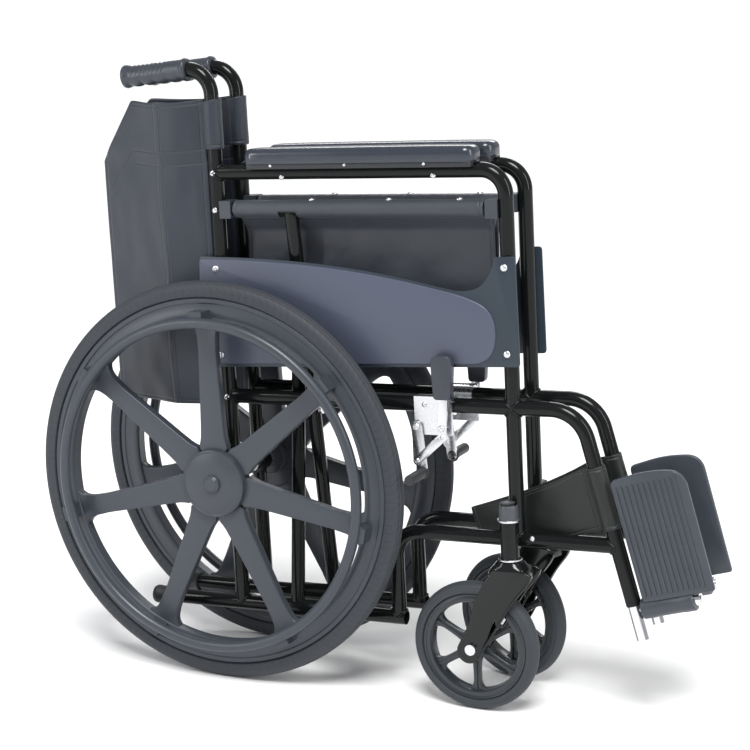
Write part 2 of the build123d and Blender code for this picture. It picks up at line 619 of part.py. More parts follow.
# ---- assembly ------------------------------------------------------------------------------
RIGHT_PIECES = {
    "cane": cane, "arm_tube": arm_tube, "upper_rail": upper_rail, "lower_frame": lower_frame,
    "caster_housing": caster_housing, "arm_pad": arm_pad, "side_guard": side_guard, "grip": grip,
    "rear_rim": rear_rim, "rear_tyre": rear_tyre, "handrim": handrim, "rear_axle": rear_axle,
    "caster_fork": caster_fork, "caster_rim": caster_rim, "caster_tyre": caster_tyre,
    "caster_axle": caster_axle, "brake_bracket": brake_bracket, "brake_shoe": brake_shoe,
    "brake_link": brake_link, "brake_lever": brake_lever, "footrest_stem": footrest_stem,
    "footplate": footplate, "rail_guides": rail_guides, "seat_edge": seat_edge,
    "seat_panel": seat_panel, "back_side": back_side, "back_centre": back_centre,
    "calf_strap": calf_strap}
CASTER_NODES = ("caster_fork", "caster_rim", "caster_tyre", "caster_axle")
SINGLE_PIECES = {"brace_a": brace_a, "brace_b": brace_b, "brace_bolt": brace_bolt}


def raked(shape):
    """Lean the bench layout back about the rear axle."""
    return Pos(0, 0, AXLE_Z) * (Rot(0, -RAKE, 0) * (Pos(0, 0, -AXLE_Z) * shape))


def all_pieces():
    pieces = {name: make() for name, make in SINGLE_PIECES.items()}
    for name, make in RIGHT_PIECES.items():
        right = make()
        left = mirror(right, about=Plane.XZ)
        if name in CASTER_NODES:
            turn = Pos(STEM_X, STEM_Y, 0) * Rot(0, 0, -LEFT_CASTER_YAW) * Pos(-STEM_X, -STEM_Y, 0)
            left = turn * left
        pieces["right_" + name] = right
        pieces["left_" + name] = left
    return {name: raked(shape) for name, shape in pieces.items()}


PIECES = all_pieces()
REAR_X = -TYRE_R
FRONT_X = PIECES["right_footplate"].bounding_box().max.X
FRONT_X = max(FRONT_X, PIECES["right_footrest_stem"].bounding_box().max.X)
SHIFT_X = -(REAR_X + FRONT_X) / 2

os.makedirs("parts", exist_ok=True)
for node, shape in PIECES.items():
    export_step(Pos(SHIFT_X, 0, 0) * shape, "parts/" + node + ".step")
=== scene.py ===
from math import asin, atan2, cos, pi, radians, sin, sqrt

import bmesh
import bpy
from mathutils import Matrix, Vector, noise


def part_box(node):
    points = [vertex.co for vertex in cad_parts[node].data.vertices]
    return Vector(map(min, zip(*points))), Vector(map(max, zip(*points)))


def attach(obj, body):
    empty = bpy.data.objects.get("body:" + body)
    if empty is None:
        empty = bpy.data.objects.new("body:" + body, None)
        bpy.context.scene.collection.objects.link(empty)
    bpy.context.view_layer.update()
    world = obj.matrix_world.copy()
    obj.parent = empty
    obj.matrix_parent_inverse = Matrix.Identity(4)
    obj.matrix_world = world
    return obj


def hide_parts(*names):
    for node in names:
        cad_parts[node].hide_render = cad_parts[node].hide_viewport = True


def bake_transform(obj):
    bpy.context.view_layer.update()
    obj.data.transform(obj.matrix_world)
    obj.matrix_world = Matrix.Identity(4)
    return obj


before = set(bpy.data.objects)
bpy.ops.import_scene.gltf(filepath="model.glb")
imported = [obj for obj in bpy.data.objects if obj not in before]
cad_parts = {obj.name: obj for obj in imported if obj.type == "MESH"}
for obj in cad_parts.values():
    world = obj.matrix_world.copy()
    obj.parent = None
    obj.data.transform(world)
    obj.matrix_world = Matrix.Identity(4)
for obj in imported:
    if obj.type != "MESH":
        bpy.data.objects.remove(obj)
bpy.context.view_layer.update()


# ---- Studio --------------------------------------------------------------------------------
# A pale matt floor that runs out of sight and one broad soft key high on the near side. Three
# soft strips, behind the push grips, ahead and on the far side, draw bright lines down the
# gloss tubes.
def add(tree, kind, inputs=None, **settings):
    """A node whose inputs are given as sockets to join or as plain values."""
    made = tree.nodes.new(kind)
    for key, value in settings.items():
        setattr(made, key, value)
    for key, value in (inputs or {}).items():
        if isinstance(value, bpy.types.NodeSocket):
            tree.links.new(value, made.inputs[key])
        else:
            made.inputs[key].default_value = value
    return made


def aimed(place, aim):
    """The turn that points a light from one place at another."""
    return (Vector(aim) - Vector(place)).to_track_quat("-Z", "Y").to_matrix().to_4x4()


def lamp(name, place, aim, energy, size, colour):
    """A soft rectangular light."""
    light = bpy.data.lights.new(name, "AREA")
    light.energy, light.color = energy, colour
    light.shape, light.size, light.size_y = "RECTANGLE", size[0], size[1]
    holder = bpy.data.objects.new(name, light)
    holder.matrix_world = Matrix.Translation(place) @ aimed(place, aim)
    bpy.context.scene.collection.objects.link(holder)


camera = bpy.data.objects.new("camera", bpy.data.cameras.new("camera"))
camera.data.lens, camera.data.sensor_width, camera.data.clip_end = 91.426, 36.0, 900.0
camera.matrix_world = Matrix(((0.9089388, -0.0790265, 0.4093716, 1.14946),
                              (0.4168643, 0.1896284, -0.8889686, -2.50681),
                              (-0.0073764, 0.9786705, 0.2053039, 1.04673),
                              (0.0, 0.0, 0.0, 1.0)))
bpy.context.scene.collection.objects.link(camera)
bpy.context.scene.camera = camera
bpy.context.scene.view_settings.view_transform = "Standard"

world = bpy.data.worlds.new("studio")
world.use_nodes = True
world.node_tree.nodes["Background"].inputs["Color"].default_value = (0.97, 0.98, 1.0, 1.0)
world.node_tree.nodes["Background"].inputs["Strength"].default_value = 0.42
bpy.context.scene.world = world
sun = bpy.data.objects.new("key", bpy.data.lights.new("key", "SUN"))
sun.data.energy, sun.data.angle = 3.0, radians(24)
sun.matrix_world = aimed((0.9, -1.6, 3.6), (0.1, 0.2, 0.4))
bpy.context.scene.collection.objects.link(sun)
MIDDLE = (0.0, 0.0, 0.5)
lamp("side_strip", (-1.6, -1.6, 1.3), MIDDLE, 14, (0.25, 1.6), (1.0, 1.0, 1.0))
lamp("front_strip", (2.4, -0.4, 1.6), MIDDLE, 22, (0.5, 1.8), (1.0, 0.99, 0.97))
lamp("back_strip", (-0.6, 2.2, 2.0), MIDDLE, 20, (1.8, 0.5), (1.0, 1.0, 1.0))

ground = bmesh.new()
bmesh.ops.create_circle(ground, cap_ends=True, segments=96, radius=400.0)
floor_mesh = bpy.data.meshes.new("floor")
ground.to_mesh(floor_mesh)
floor = bpy.data.objects.new("floor", floor_mesh)
bpy.context.scene.collection.objects.link(floor)
floor_finish = bpy.data.materials.new("pale_floor")
floor_finish.use_nodes = True
floor_tree = floor_finish.node_tree
floor_cloud = add(floor_tree, "ShaderNodeTexNoise", {
    "Vector": add(floor_tree, "ShaderNodeTexCoord").outputs["Object"], "Scale": 0.8})
floor_tone = add(floor_tree, "ShaderNodeMapRange", {
    "Value": floor_cloud.outputs["Fac"], "To Min": 0.93, "To Max": 0.95})
floor_skin = floor_tree.nodes["Principled BSDF"].inputs
floor_tree.links.new(floor_tone.outputs["Result"], floor_skin["Base Color"])
floor_skin["Roughness"].default_value = 0.9
floor_mesh.materials.append(floor_finish)


# ---- Frame tubes ---------------------------------------------------------------------------
# 22 mm steel tube, bent and welded into two side frames, then powder coated gloss black.
# The chair stands raked back 2.6 degrees about the rear axle, so pieces are laid out on a
# level bench (x forward, z up, y = 0 between the sides) and leaned into place by fit().
def at(x, y, z):
    """A shift by those lengths."""
    return Matrix.Translation((x, y, z))


tyre_low, tyre_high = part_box("right_rear_tyre")
AXLE = Vector(((tyre_low.x + tyre_high.x) / 2, 0.0, (tyre_low.z + tyre_high.z) / 2))
LEAN = Matrix.Translation(AXLE) @ Matrix.Rotation(radians(-2.6), 4, "Y") @ at(0.0, 0.0, -AXLE.z)
ACROSS = Matrix.Diagonal((1.0, -1.0, 1.0, 1.0))
OUTWARD = Matrix.Rotation(pi / 2, 4, "X")
SIDE_Y, TUBE_R = -0.0385, 0.011
SIDES = ("right", "left")
ARM_Z, UPPER_Z, LOWER_Z, BOTTOM_Z = 0.763, 0.426, 0.234, 0.100
POST_X, RISER_X, TIP_X = 0.457, 0.265, -0.154
HANGER_X, HANGER_TILT = 0.5555, radians(14.6)
TILT_S, TILT_C = sin(HANGER_TILT), cos(HANGER_TILT)
STEM_X, STEM_Y = 0.454, -0.0635
CASTER_TURN = (at(STEM_X, -STEM_Y, 0.0) @ Matrix.Rotation(radians(-17), 4, "Z")
               @ at(-STEM_X, STEM_Y, 0.0))


def group(name, inputs, outputs):
    """An empty shader group with named float, colour or vector sockets."""
    tree = bpy.data.node_groups.new(name, "ShaderNodeTree")
    for label, kind, value in inputs:
        socket = tree.interface.new_socket(label, in_out="INPUT", socket_type="NodeSocket" + kind)
        if value is not None:
            socket.default_value = value
    for label, kind in outputs:
        tree.interface.new_socket(label, in_out="OUTPUT", socket_type="NodeSocket" + kind)
    return tree, tree.nodes.new("NodeGroupInput").outputs, tree.nodes.new("NodeGroupOutput").inputs


def sums(tree, kind, *values):
    made = tree.nodes.new("ShaderNodeMath")
    made.operation = kind
    for slot, value in zip(made.inputs, values):
        if isinstance(value, bpy.types.NodeSocket):
            tree.links.new(value, slot)
        else:
            slot.default_value = value
    return made.outputs[0]


def build_uneven():
    """Slow drift of shade and gloss over a surface, with finer specks of handling."""
    tree, given, out = group(
        "uneven", [("Colour", "Color", None), ("Shade", "Float", 0.1), ("Size", "Float", 0.05),
                   ("Rough", "Float", 0.3), ("Spread", "Float", 0.1)],
        [("Colour", "Color"), ("Roughness", "Float")])
    where = add(tree, "ShaderNodeTexCoord").outputs["Object"]
    scale = sums(tree, "DIVIDE", 1.0, given["Size"])
    slow = add(tree, "ShaderNodeTexNoise", {"Vector": where, "Scale": scale, "Detail": 4.0})
    fine = add(tree, "ShaderNodeTexNoise", {
        "Vector": where, "Scale": sums(tree, "MULTIPLY", scale, 9.0), "Detail": 3.0})
    drift = sums(tree, "SUBTRACT", slow.outputs["Fac"], 0.5)
    speck = sums(tree, "SUBTRACT", fine.outputs["Fac"], 0.5)
    both = sums(tree, "MULTIPLY_ADD", speck, 0.4, drift)
    tone = sums(tree, "MULTIPLY_ADD", both, sums(tree, "MULTIPLY", given["Shade"], 2.0), 1.0)
    tint = add(tree, "ShaderNodeHueSaturation", {"Color": given["Colour"], "Value": tone})
    tree.links.new(tint.outputs["Color"], out["Colour"])
    rough = sums(tree, "MULTIPLY_ADD", both, given["Spread"], given["Rough"])
    tree.links.new(rough, out["Roughness"])
    return tree


def build_grain():
    """Height of a fine moulded or sprayed skin: rounded cells over a soft ripple."""
    tree, given, out = group("grain", [("Size", "Float", 0.001)], [("Height", "Float")])
    where = add(tree, "ShaderNodeTexCoord").outputs["Object"]
    scale = sums(tree, "DIVIDE", 1.0, given["Size"])
    cells = add(tree, "ShaderNodeTexVoronoi", {"Vector": where, "Scale": scale}, feature="SMOOTH_F1")
    ripple = add(tree, "ShaderNodeTexNoise", {
        "Vector": where, "Scale": sums(tree, "MULTIPLY", scale, 0.35), "Detail": 3.0})
    tree.links.new(sums(tree, "MULTIPLY_ADD", ripple.outputs["Fac"], 0.8, cells.outputs["Distance"]),
                   out["Height"])
    return tree


UNEVEN, GRAIN = build_uneven(), build_grain()


def bumped(tree, height, strength, reach, under=None):
    """The surface direction with a height added over the one below."""
    given = {"Height": height, "Strength": strength, "Distance": reach}
    return add(tree, "ShaderNodeBump", {**given, "Normal": under} if under else given).outputs[0]


def finish(name, colour, rough, shade=0.12, drift=0.05, spread=0.12, grain=0.001, depth=0.05,
           reach=0.0002, **fixed):
    """A Principled material with drifting colour and gloss and a fine skin."""
    made = bpy.data.materials.new(name)
    made.use_nodes = True
    tree, shader = made.node_tree, made.node_tree.nodes["Principled BSDF"]
    skin = add(tree, "ShaderNodeGroup", node_tree=UNEVEN)
    for label, value in (("Colour", (*colour, 1.0)), ("Shade", shade), ("Size", drift),
                         ("Rough", rough), ("Spread", spread)):
        skin.inputs[label].default_value = value
    tree.links.new(skin.outputs["Colour"], shader.inputs["Base Color"])
    tree.links.new(skin.outputs["Roughness"], shader.inputs["Roughness"])
    cells = add(tree, "ShaderNodeGroup", node_tree=GRAIN)
    cells.inputs["Size"].default_value = grain
    tree.links.new(bumped(tree, cells.outputs["Height"], depth, reach), shader.inputs["Normal"])
    for slot in shader.inputs:
        word = slot.name.lower().replace(" ", "_")
        if word in fixed:
            slot.default_value = fixed[word]
    return made


def dress(nodes, skin):
    """Put a finish on carried-over CAD nodes of both sides."""
    for node in nodes:
        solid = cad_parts[node]
        if not solid.material_slots:
            solid.data.materials.append(skin)
        for place in solid.material_slots:
            place.material = skin


def both(*names):
    """The same node names for the two sides."""
    return [side + "_" + name for name in names for side in SIDES]


def fit(shape, name, body, skin, instead=(), sharp=38, sides=SIDES):
    """Finish a bench shape as one piece a side, riding on its body."""
    pieces = []
    for side in sides:
        own = shape.copy()
        if side == "left":
            own.transform(ACROSS)
            bmesh.ops.reverse_faces(own, faces=own.faces[:])
            if body.startswith("caster"):
                own.transform(CASTER_TURN)
        own.transform(LEAN)
        mesh = bpy.data.meshes.new(side + "_" + name)
        own.to_mesh(mesh)
        own.free()
        mesh.shade_smooth()
        mesh.set_sharp_from_angle(angle=radians(sharp))
        mesh.materials.append(skin)
        piece = bpy.data.objects.new(side + "_" + name, mesh)
        bpy.context.scene.collection.objects.link(piece)
        if instead:
            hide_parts(*[side + "_" + node for node in instead])
        if body:
            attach(piece, side + "_" + body)
        pieces.append(piece)
    shape.free()
    return pieces


def joined(*shapes):
    """Several shapes as one."""
    whole = bmesh.new()
    for shape in shapes:
        mesh = bpy.data.meshes.new("part")
        shape.to_mesh(mesh)
        whole.from_mesh(mesh)
        bpy.data.meshes.remove(mesh)
        shape.free()
    return whole


def moved(shape, place):
    shape.transform(place)
    return shape


def bevelled(shape, edges, width, segments, clamp=False):
    """Those edges rounded to that width."""
    bmesh.ops.bevel(shape, geom=edges, offset=width, segments=segments, profile=0.5, affect="EDGES",
                    clamp_overlap=clamp, material=-1)
    return shape


def turned(profile, steps=64):
    """Spin an outline of (radius, height) points about the z axis."""
    shape = bmesh.new()
    points = [shape.verts.new((r, 0.0, z)) for r, z in profile]
    for a, b in zip(points, points[1:]):
        shape.edges.new((a, b))
    bmesh.ops.spin(shape, geom=shape.verts[:] + shape.edges[:], cent=(0, 0, 0), axis=(0, 0, 1),
                   angle=2 * pi, steps=steps, use_merge=True)
    bmesh.ops.remove_doubles(shape, verts=shape.verts[:], dist=1e-6)
    bmesh.ops.recalc_face_normals(shape, faces=shape.faces[:])
    return shape


def wire(points, radius, cyclic=False, swell=None, sides=3):
    """A round bead or cord through points, as mesh."""
    line = bpy.data.curves.new("line", "CURVE")
    line.dimensions, line.bevel_depth, line.bevel_resolution = "3D", radius, sides
    line.use_fill_caps = not cyclic
    spline = line.splines.new("POLY")
    spline.points.add(len(points) - 1)
    for i, (point, at) in enumerate(zip(points, spline.points)):
        at.co = (*point, 1.0)
        at.radius = swell(i) if swell else 1.0
    spline.use_cyclic_u = cyclic
    holder = bpy.data.objects.new("line", line)
    mesh = bpy.data.meshes.new_from_object(holder)
    shape = bmesh.new()
    shape.from_mesh(mesh)
    bpy.data.objects.remove(holder)
    bpy.data.curves.remove(line)
    bpy.data.meshes.remove(mesh)
    bmesh.ops.remove_doubles(shape, verts=shape.verts[:], dist=1e-6)
    return shape


def weld(x, z, main, branch):
    """A run of weld where one 22 mm tube is coped onto another."""
    main, branch = Vector(main).normalized(), Vector(branch).normalized()
    off = main.cross(branch)
    ring = []
    for i in range(40):
        a = 2 * pi * i / 40
        rise = TUBE_R * abs(cos(a)) + 0.0006
        ring.append(Vector((x, SIDE_Y, z)) + main * TUBE_R * cos(a) * 1.03
                    + off * TUBE_R * sin(a) * 1.03 + branch * rise)
    return wire(ring, 0.0019, cyclic=True, swell=lambda i: 1.0 + 0.16 * sin(i * 2.4), sides=2)


def screw(x, z, out, radius=0.005, rise=0.0026):
    """A domed screw head whose face looks outward."""
    head = turned([(0.0, rise * 0.55), (radius * 0.3, rise * 0.6), (radius * 0.36, rise),
                   (radius * 0.7, rise * 0.86), (radius * 0.95, rise * 0.4), (radius, 0.0),
                   (radius * 0.98, -0.001), (0.0, -0.001)], 24)
    return moved(head, at(x, -out, z) @ OUTWARD)


def along_x(shape, x, y, z, aim=(1, 0, 0)):
    """Stand a turned shape's axis along a direction from a point."""
    turn = Vector(aim).to_track_quat("Z", "Y").to_matrix().to_4x4()
    return moved(shape, at(x, y, z) @ turn)


frame_paint = finish("gloss_black_coat", (0.0060, 0.0068, 0.0070), 0.16, shade=0.25, drift=0.12,
                     spread=0.12, grain=0.0022, depth=0.12, reach=0.00012,
                     specular_ior_level=0.18, coat_weight=0.12, coat_roughness=0.05)
bright_zinc = finish("zinc_plate", (0.72, 0.73, 0.75), 0.27, shade=0.12, drift=0.02, spread=0.25,
                     grain=0.0012, depth=0.12, metallic=1.0)
rubber = finish("black_rubber", (0.018, 0.019, 0.021), 0.5, shade=0.2, drift=0.03, spread=0.2,
                grain=0.0008, depth=0.25)
dress(both("cane", "arm_tube", "upper_rail", "lower_frame"), frame_paint)
UP, DOWN, AHEAD, BACK = (0, 0, 1), (0, 0, -1), (1, 0, 0), (-1, 0, 0)


def hanger_x(z):
    """How far forward the slanting hanger is at a height."""
    return HANGER_X + (UPPER_Z - z) * TILT_S / TILT_C


fit(joined(weld(0.0, UPPER_Z, UP, AHEAD), weld(0.0, ARM_Z, UP, AHEAD),
           weld(POST_X, UPPER_Z, AHEAD, UP), weld(POST_X, UPPER_Z, AHEAD, DOWN),
           weld(POST_X, LOWER_Z, AHEAD, UP), weld(RISER_X, BOTTOM_Z, AHEAD, UP),
           weld(0.0, BOTTOM_Z, AHEAD, UP),
           weld(hanger_x(LOWER_Z), LOWER_Z, (TILT_S, 0.0, -TILT_C), BACK)),
    "weld_beads", "frame", frame_paint, sharp=60)
tip_cap = turned([(0.0, -0.0035), (0.009, -0.0034), (0.0125, -0.002), (0.0140, 0.001), (0.0142, 0.006),
                  (0.0136, 0.008), (0.0136, 0.030), (0.0144, 0.0315), (0.0144, 0.0335),
                  (0.0120, 0.0345), (0.0, 0.0345)], 40)
fit(along_x(tip_cap, TIP_X, SIDE_Y, BOTTOM_Z), "tipping_cap", "frame", rubber)
fit(joined(screw(0.114, 0.7565, 0.0485, 0.0042), screw(0.353, 0.7565, 0.0485, 0.0042),
           *[screw(0.0, z, 0.0490, 0.0046) for z in (ARM_Z, 0.708, UPPER_Z)],
           screw(0.482, 0.2385, 0.0488, 0.0042)),
    "tube_screws", "frame", bright_zinc)


# ---- Caster housings -----------------------------------------------------------------------
# A bored steel barrel webbed to the front post, coated with the frame. A pressed washer sits
# at each end of the bearing barrel, and a soft grey plug covers the stem nut.
dress(both("caster_housing"), frame_paint)
washer = [(0.0070, -0.0014), (0.0168, -0.0014), (0.0174, -0.0005), (0.0174, 0.0008), (0.0166, 0.0016),
          (0.0070, 0.0016), (0.0070, -0.0014)]
fit(joined(*[moved(turned(washer, 48), at(STEM_X, STEM_Y, z)) for z in (0.2688, 0.2112)]),
    "housing_washers", "frame", bright_zinc)
stem_plug = turned([(0.0, 0.0255), (0.0060, 0.0252), (0.0100, 0.0238), (0.0128, 0.0206),
                    (0.0140, 0.0150), (0.0143, 0.0016), (0.0150, 0.0010), (0.0150, -0.0006),
                    (0.0130, -0.0010), (0.0, -0.0010)], 48)
grey_plug = finish("grey_plug", (0.055, 0.060, 0.070), 0.42, grain=0.0009, depth=0.2)
fit(moved(stem_plug, at(STEM_X, STEM_Y, 0.2700)), "stem_plug", "frame",
    grey_plug)


# ---- Arm pads ------------------------------------------------------------------------------
# Moulded foam under glossy vinyl on a thin hard base, screwed up through the arm tube, with
# three small screws that hold the skin to the base along its outer edge.
def cushion(x, y, z, edge, crown):
    """A rounded block with a crowned top; x, y and z are its two limits on each axis."""
    shape = bmesh.new()
    bmesh.ops.create_cube(shape, size=1.0)
    bmesh.ops.scale(shape, verts=shape.verts[:], vec=(x[1] - x[0], y[1] - y[0], z[1] - z[0]))
    upright = [e for e in shape.edges if abs(e.verts[0].co.z - e.verts[1].co.z) > 1e-5]
    bevelled(shape, upright, edge * 1.7, 6)
    top = [e for e in shape.edges if all(v.co.z > 0 for v in e.verts)]
    bevelled(shape, top, edge, 5)
    low = [e for e in shape.edges if all(v.co.z < -0.49 * (z[1] - z[0]) for v in e.verts)]
    bevelled(shape, low, edge * 0.25, 2)
    slices = [((cut * (x[1] - x[0]) / 24, 0, 0), (1, 0, 0)) for cut in range(-11, 12)]
    slices += [((0, cut * (y[1] - y[0]), 0), (0, 1, 0)) for cut in (-0.3, 0.0, 0.3)]
    for place, square in slices:
        bmesh.ops.bisect_plane(shape, geom=shape.verts[:] + shape.edges[:] + shape.faces[:],
                               plane_co=place, plane_no=square)
    half = ((x[1] - x[0]) / 2, (y[1] - y[0]) / 2)
    for vert in shape.verts:
        fade = (1 - abs(vert.co.x / half[0]) ** 6) * (1 - (vert.co.y / half[1]) ** 2)
        if vert.co.z > 0:
            vert.co.z += crown * fade
    bmesh.ops.translate(shape, verts=shape.verts[:], vec=[sum(pair) / 2 for pair in (x, y, z)])
    return shape


pad_vinyl = finish("pad_vinyl", (0.025, 0.031, 0.044), 0.22, shade=0.16, drift=0.06, spread=0.16,
                   grain=0.0011, depth=0.22, reach=0.00018, coat_weight=0.25, coat_roughness=0.2)
pad_base = finish("pad_base", (0.02, 0.022, 0.026), 0.45, grain=0.0009, depth=0.2)
for piece in fit(cushion((0.0545, 0.4175), (-0.0615, -0.0155), (0.7750, 0.7975), 0.0100, 0.0016),
                 "arm_cushion", "frame", pad_vinyl, instead=("arm_pad",), sharp=60):
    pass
fit(cushion((0.061, 0.414), (-0.0595, -0.0175), (0.7685, 0.7770), 0.0022, 0.0), "arm_pad_base", "frame",
    pad_base, sharp=60)
fit(joined(*[screw(x, 0.7735, 0.0594, 0.0024, 0.0016) for x in (0.102, 0.221, 0.344)]),
    "pad_screws", "frame", bright_zinc)


# ---- Side guards ---------------------------------------------------------------------------
# A vacuum-formed plastic skirt: a dark sheet whose front corner rises to the upright, with a
# lighter moulded panel standing proud of it, held to the posts by domed screws.
def rounded(corners, steps=6):
    """An outline whose corners, given as x, y and how far back the curve starts, are eased."""
    outline = []
    for i, (x, y, cut) in enumerate(corners):
        here = Vector((x, y))
        a, b = Vector(corners[i - 1][:2]) - here, Vector(corners[(i + 1) % len(corners)][:2]) - here
        if cut == 0:
            outline.append(here)
            continue
        a, b = a.normalized() * min(cut, a.length * 0.49), b.normalized() * min(cut, b.length * 0.49)
        for k in range(steps + 1):
            t = k / steps
            outline.append(here + a * (1 - t) ** 2 + b * t ** 2)
    return outline


def plate(outline, low, high):
    """A flat plate from one height to another with that outline."""
    shape = bmesh.new()
    face = shape.faces.new([shape.verts.new((p[0], p[1], low)) for p in outline])
    grown = bmesh.ops.extrude_face_region(shape, geom=[face], use_keep_orig=True)
    lifted = [v for v in grown["geom"] if isinstance(v, bmesh.types.BMVert)]
    bmesh.ops.translate(shape, verts=lifted, vec=(0, 0, high - low))
    bmesh.ops.remove_doubles(shape, verts=shape.verts[:], dist=1e-7)
    bmesh.ops.recalc_face_normals(shape, faces=shape.faces[:])
    return shape


def soften(shape, width, segments=3, angle=40):
    """Round every edge sharper than the angle."""
    sharp = [e for e in shape.edges
             if len(e.link_faces) == 2 and e.calc_face_angle() > radians(angle)]
    return bevelled(shape, sharp, width, segments, clamp=True)


GUARD_TOP = [(-0.0280, 0.6400, 0.006), (0.0500, 0.6385, 0.03), (0.1360, 0.6340, 0.04),
             (0.2200, 0.6250, 0.04), (0.2940, 0.6130, 0.04), (0.3500, 0.6010, 0.03),
             (0.3900, 0.5925, 0.02)]
guard_base = rounded([(-0.039, 0.472, 0.008), (0.476, 0.488, 0.006), (0.474, 0.644, 0.006),
                      (0.4430, 0.6430, 0.004), (0.4370, 0.6210, 0.012), (0.4200, 0.5990, 0.012)]
                     + GUARD_TOP[::-1])
guard_panel = rounded([(-0.0335, 0.4770, 0.010), (0.418, 0.4905, 0.014), (0.4370, 0.5050, 0.015),
                       (0.4430, 0.5400, 0.020), (0.4320, 0.5720, 0.020)]
                      + [(x, z - 0.0035, c) for x, z, c in GUARD_TOP[::-1]])
slate_plastic = finish("slate_sheet", (0.020, 0.031, 0.044), 0.36, shade=0.12, drift=0.09,
                       grain=0.0007, depth=0.16)
panel_plastic = finish("guard_panel", (0.066, 0.077, 0.114), 0.38, shade=0.08, drift=0.12,
                       grain=0.0007, depth=0.14)
GUARD_IN, GUARD_FACE = 0.0534, 0.0559
fit(moved(soften(plate(guard_base, GUARD_IN, GUARD_FACE), 0.0007), OUTWARD), "guard_sheet", "frame",
    slate_plastic, instead=("side_guard",))
raised = plate(guard_panel, GUARD_FACE - 0.001, GUARD_FACE + 0.0028)
rim_edges = [e for e in raised.edges if all(v.co.z > GUARD_FACE for v in e.verts)]
fit(moved(bevelled(raised, rim_edges, 0.0024, 4, clamp=True), OUTWARD), "guard_panel", "frame",
    panel_plastic)
GUARD_POSTS = ((POST_X, 0.628), (POST_X, 0.506), (0.0, 0.622), (0.0, 0.492))
stud = [(0.0, 0.0), (0.005, 0.0), (0.005, 0.016), (0.0, 0.016)]
fit(joined(*[moved(turned(stud, 24), at(x, -0.0380, z) @ OUTWARD)
             for x, z in GUARD_POSTS]), "guard_spacers", "frame", pad_base)
fit(joined(*[screw(x, z, GUARD_FACE + (0.0 if x > 0.4 else 0.0028), 0.0056, 0.003)
             for x, z in GUARD_POSTS]), "guard_screws", "frame", bright_zinc)


# ---- Push grips ----------------------------------------------------------------------------
# A moulded black rubber grip pushed over each cane end: slanting ribs on top, scallops for
# the fingers underneath, a rolled collar at the front and a flared closed end.
GRIP_BACK = Vector((-0.140, 0.0, -0.010)).normalized()
GRIP_FRONT = Vector((0.0, SIDE_Y, 0.918)) + GRIP_BACK * 0.036
profile = [(0.0108, 0.0), (0.0150, 0.0002), (0.0168, 0.0016), (0.0172, 0.0040), (0.0164, 0.0070)]
profile += [(0.0156, 0.009 + 0.0011 * i) for i in range(81)]
profile += [(0.0160, 0.1000), (0.0170, 0.1035), (0.0174, 0.1065), (0.0168, 0.1085), (0.0140, 0.1095),
            (0.0, 0.1098)]
hold = turned(profile, 72)
for vert in hold.verts:
    r, a = sqrt(vert.co.x ** 2 + vert.co.y ** 2), atan2(vert.co.y, vert.co.x)
    z = vert.co.z
    if r < 0.0125 or z < 0.008 or z > 0.099:
        continue
    inside = min(1.0, (z - 0.008) / 0.006, (0.099 - z) / 0.006)
    top = max(0.0, sin(a)) ** 0.7
    under = max(0.0, -sin(a))
    rib = (0.5 + 0.5 * sin((z + 0.006 * cos(a)) * 2 * pi / 0.0074)) ** 0.6
    push = -0.0013 * (1 - rib) * top * (1.0 if z > 0.036 else 0.25)
    push += 0.0022 * under * (abs(sin((z - 0.012) * pi / 0.0215)) - 0.55)
    vert.co.x *= 1 + push * inside / r
    vert.co.y *= 1 + push * inside / r
grip_up = Vector((GRIP_BACK.z, 0.0, -GRIP_BACK.x))
grip_out = grip_up.cross(GRIP_BACK)
grip_turn = Matrix((grip_out, grip_up, GRIP_BACK)).transposed().to_4x4()
grip_place = Matrix.Translation(GRIP_FRONT) @ grip_turn
grip_rubber = finish("grip_rubber", (0.034, 0.039, 0.052), 0.34, shade=0.2, drift=0.03, spread=0.2,
                     grain=0.0008, depth=0.22)
fit(moved(hold, grip_place), "grip_sleeve", "frame", grip_rubber, instead=("grip",), sharp=50)


# ---- Rear wheels ---------------------------------------------------------------------------
# One-piece moulded seven-spoke wheels in blue-grey nylon with a solid tyre, and a handrim of
# the same plastic on seven short lugs. They run on a bolt through the cane's cross sleeve.
def spoke_ring(rows, count, thick, edge, turn=0.5 * pi):
    """Flared spokes; rows give radius and half width from the hub outwards."""
    limit = sin(pi / count) * 0.998
    reach = [(r, min(w, r * limit)) for r, w in rows]
    outline = [(r, -w) for r, w in reach] + [(r, w) for r, w in reach[::-1]]
    arms = []
    for i in range(count):
        arm = plate(outline, -thick / 2, thick / 2)
        long_sides = [e for e in arm.edges if abs(e.verts[0].co.z - e.verts[1].co.z) < 1e-6
                      and min(v.co.x for v in e.verts) < rows[-1][0] - 1e-5
                      and max(v.co.x for v in e.verts) > rows[0][0] + 1e-5]
        bevelled(arm, long_sides, edge, 3, clamp=True)
        arms.append(moved(arm, Matrix.Rotation(turn + 2 * pi * i / count, 4, "Z")))
    return joined(*arms)


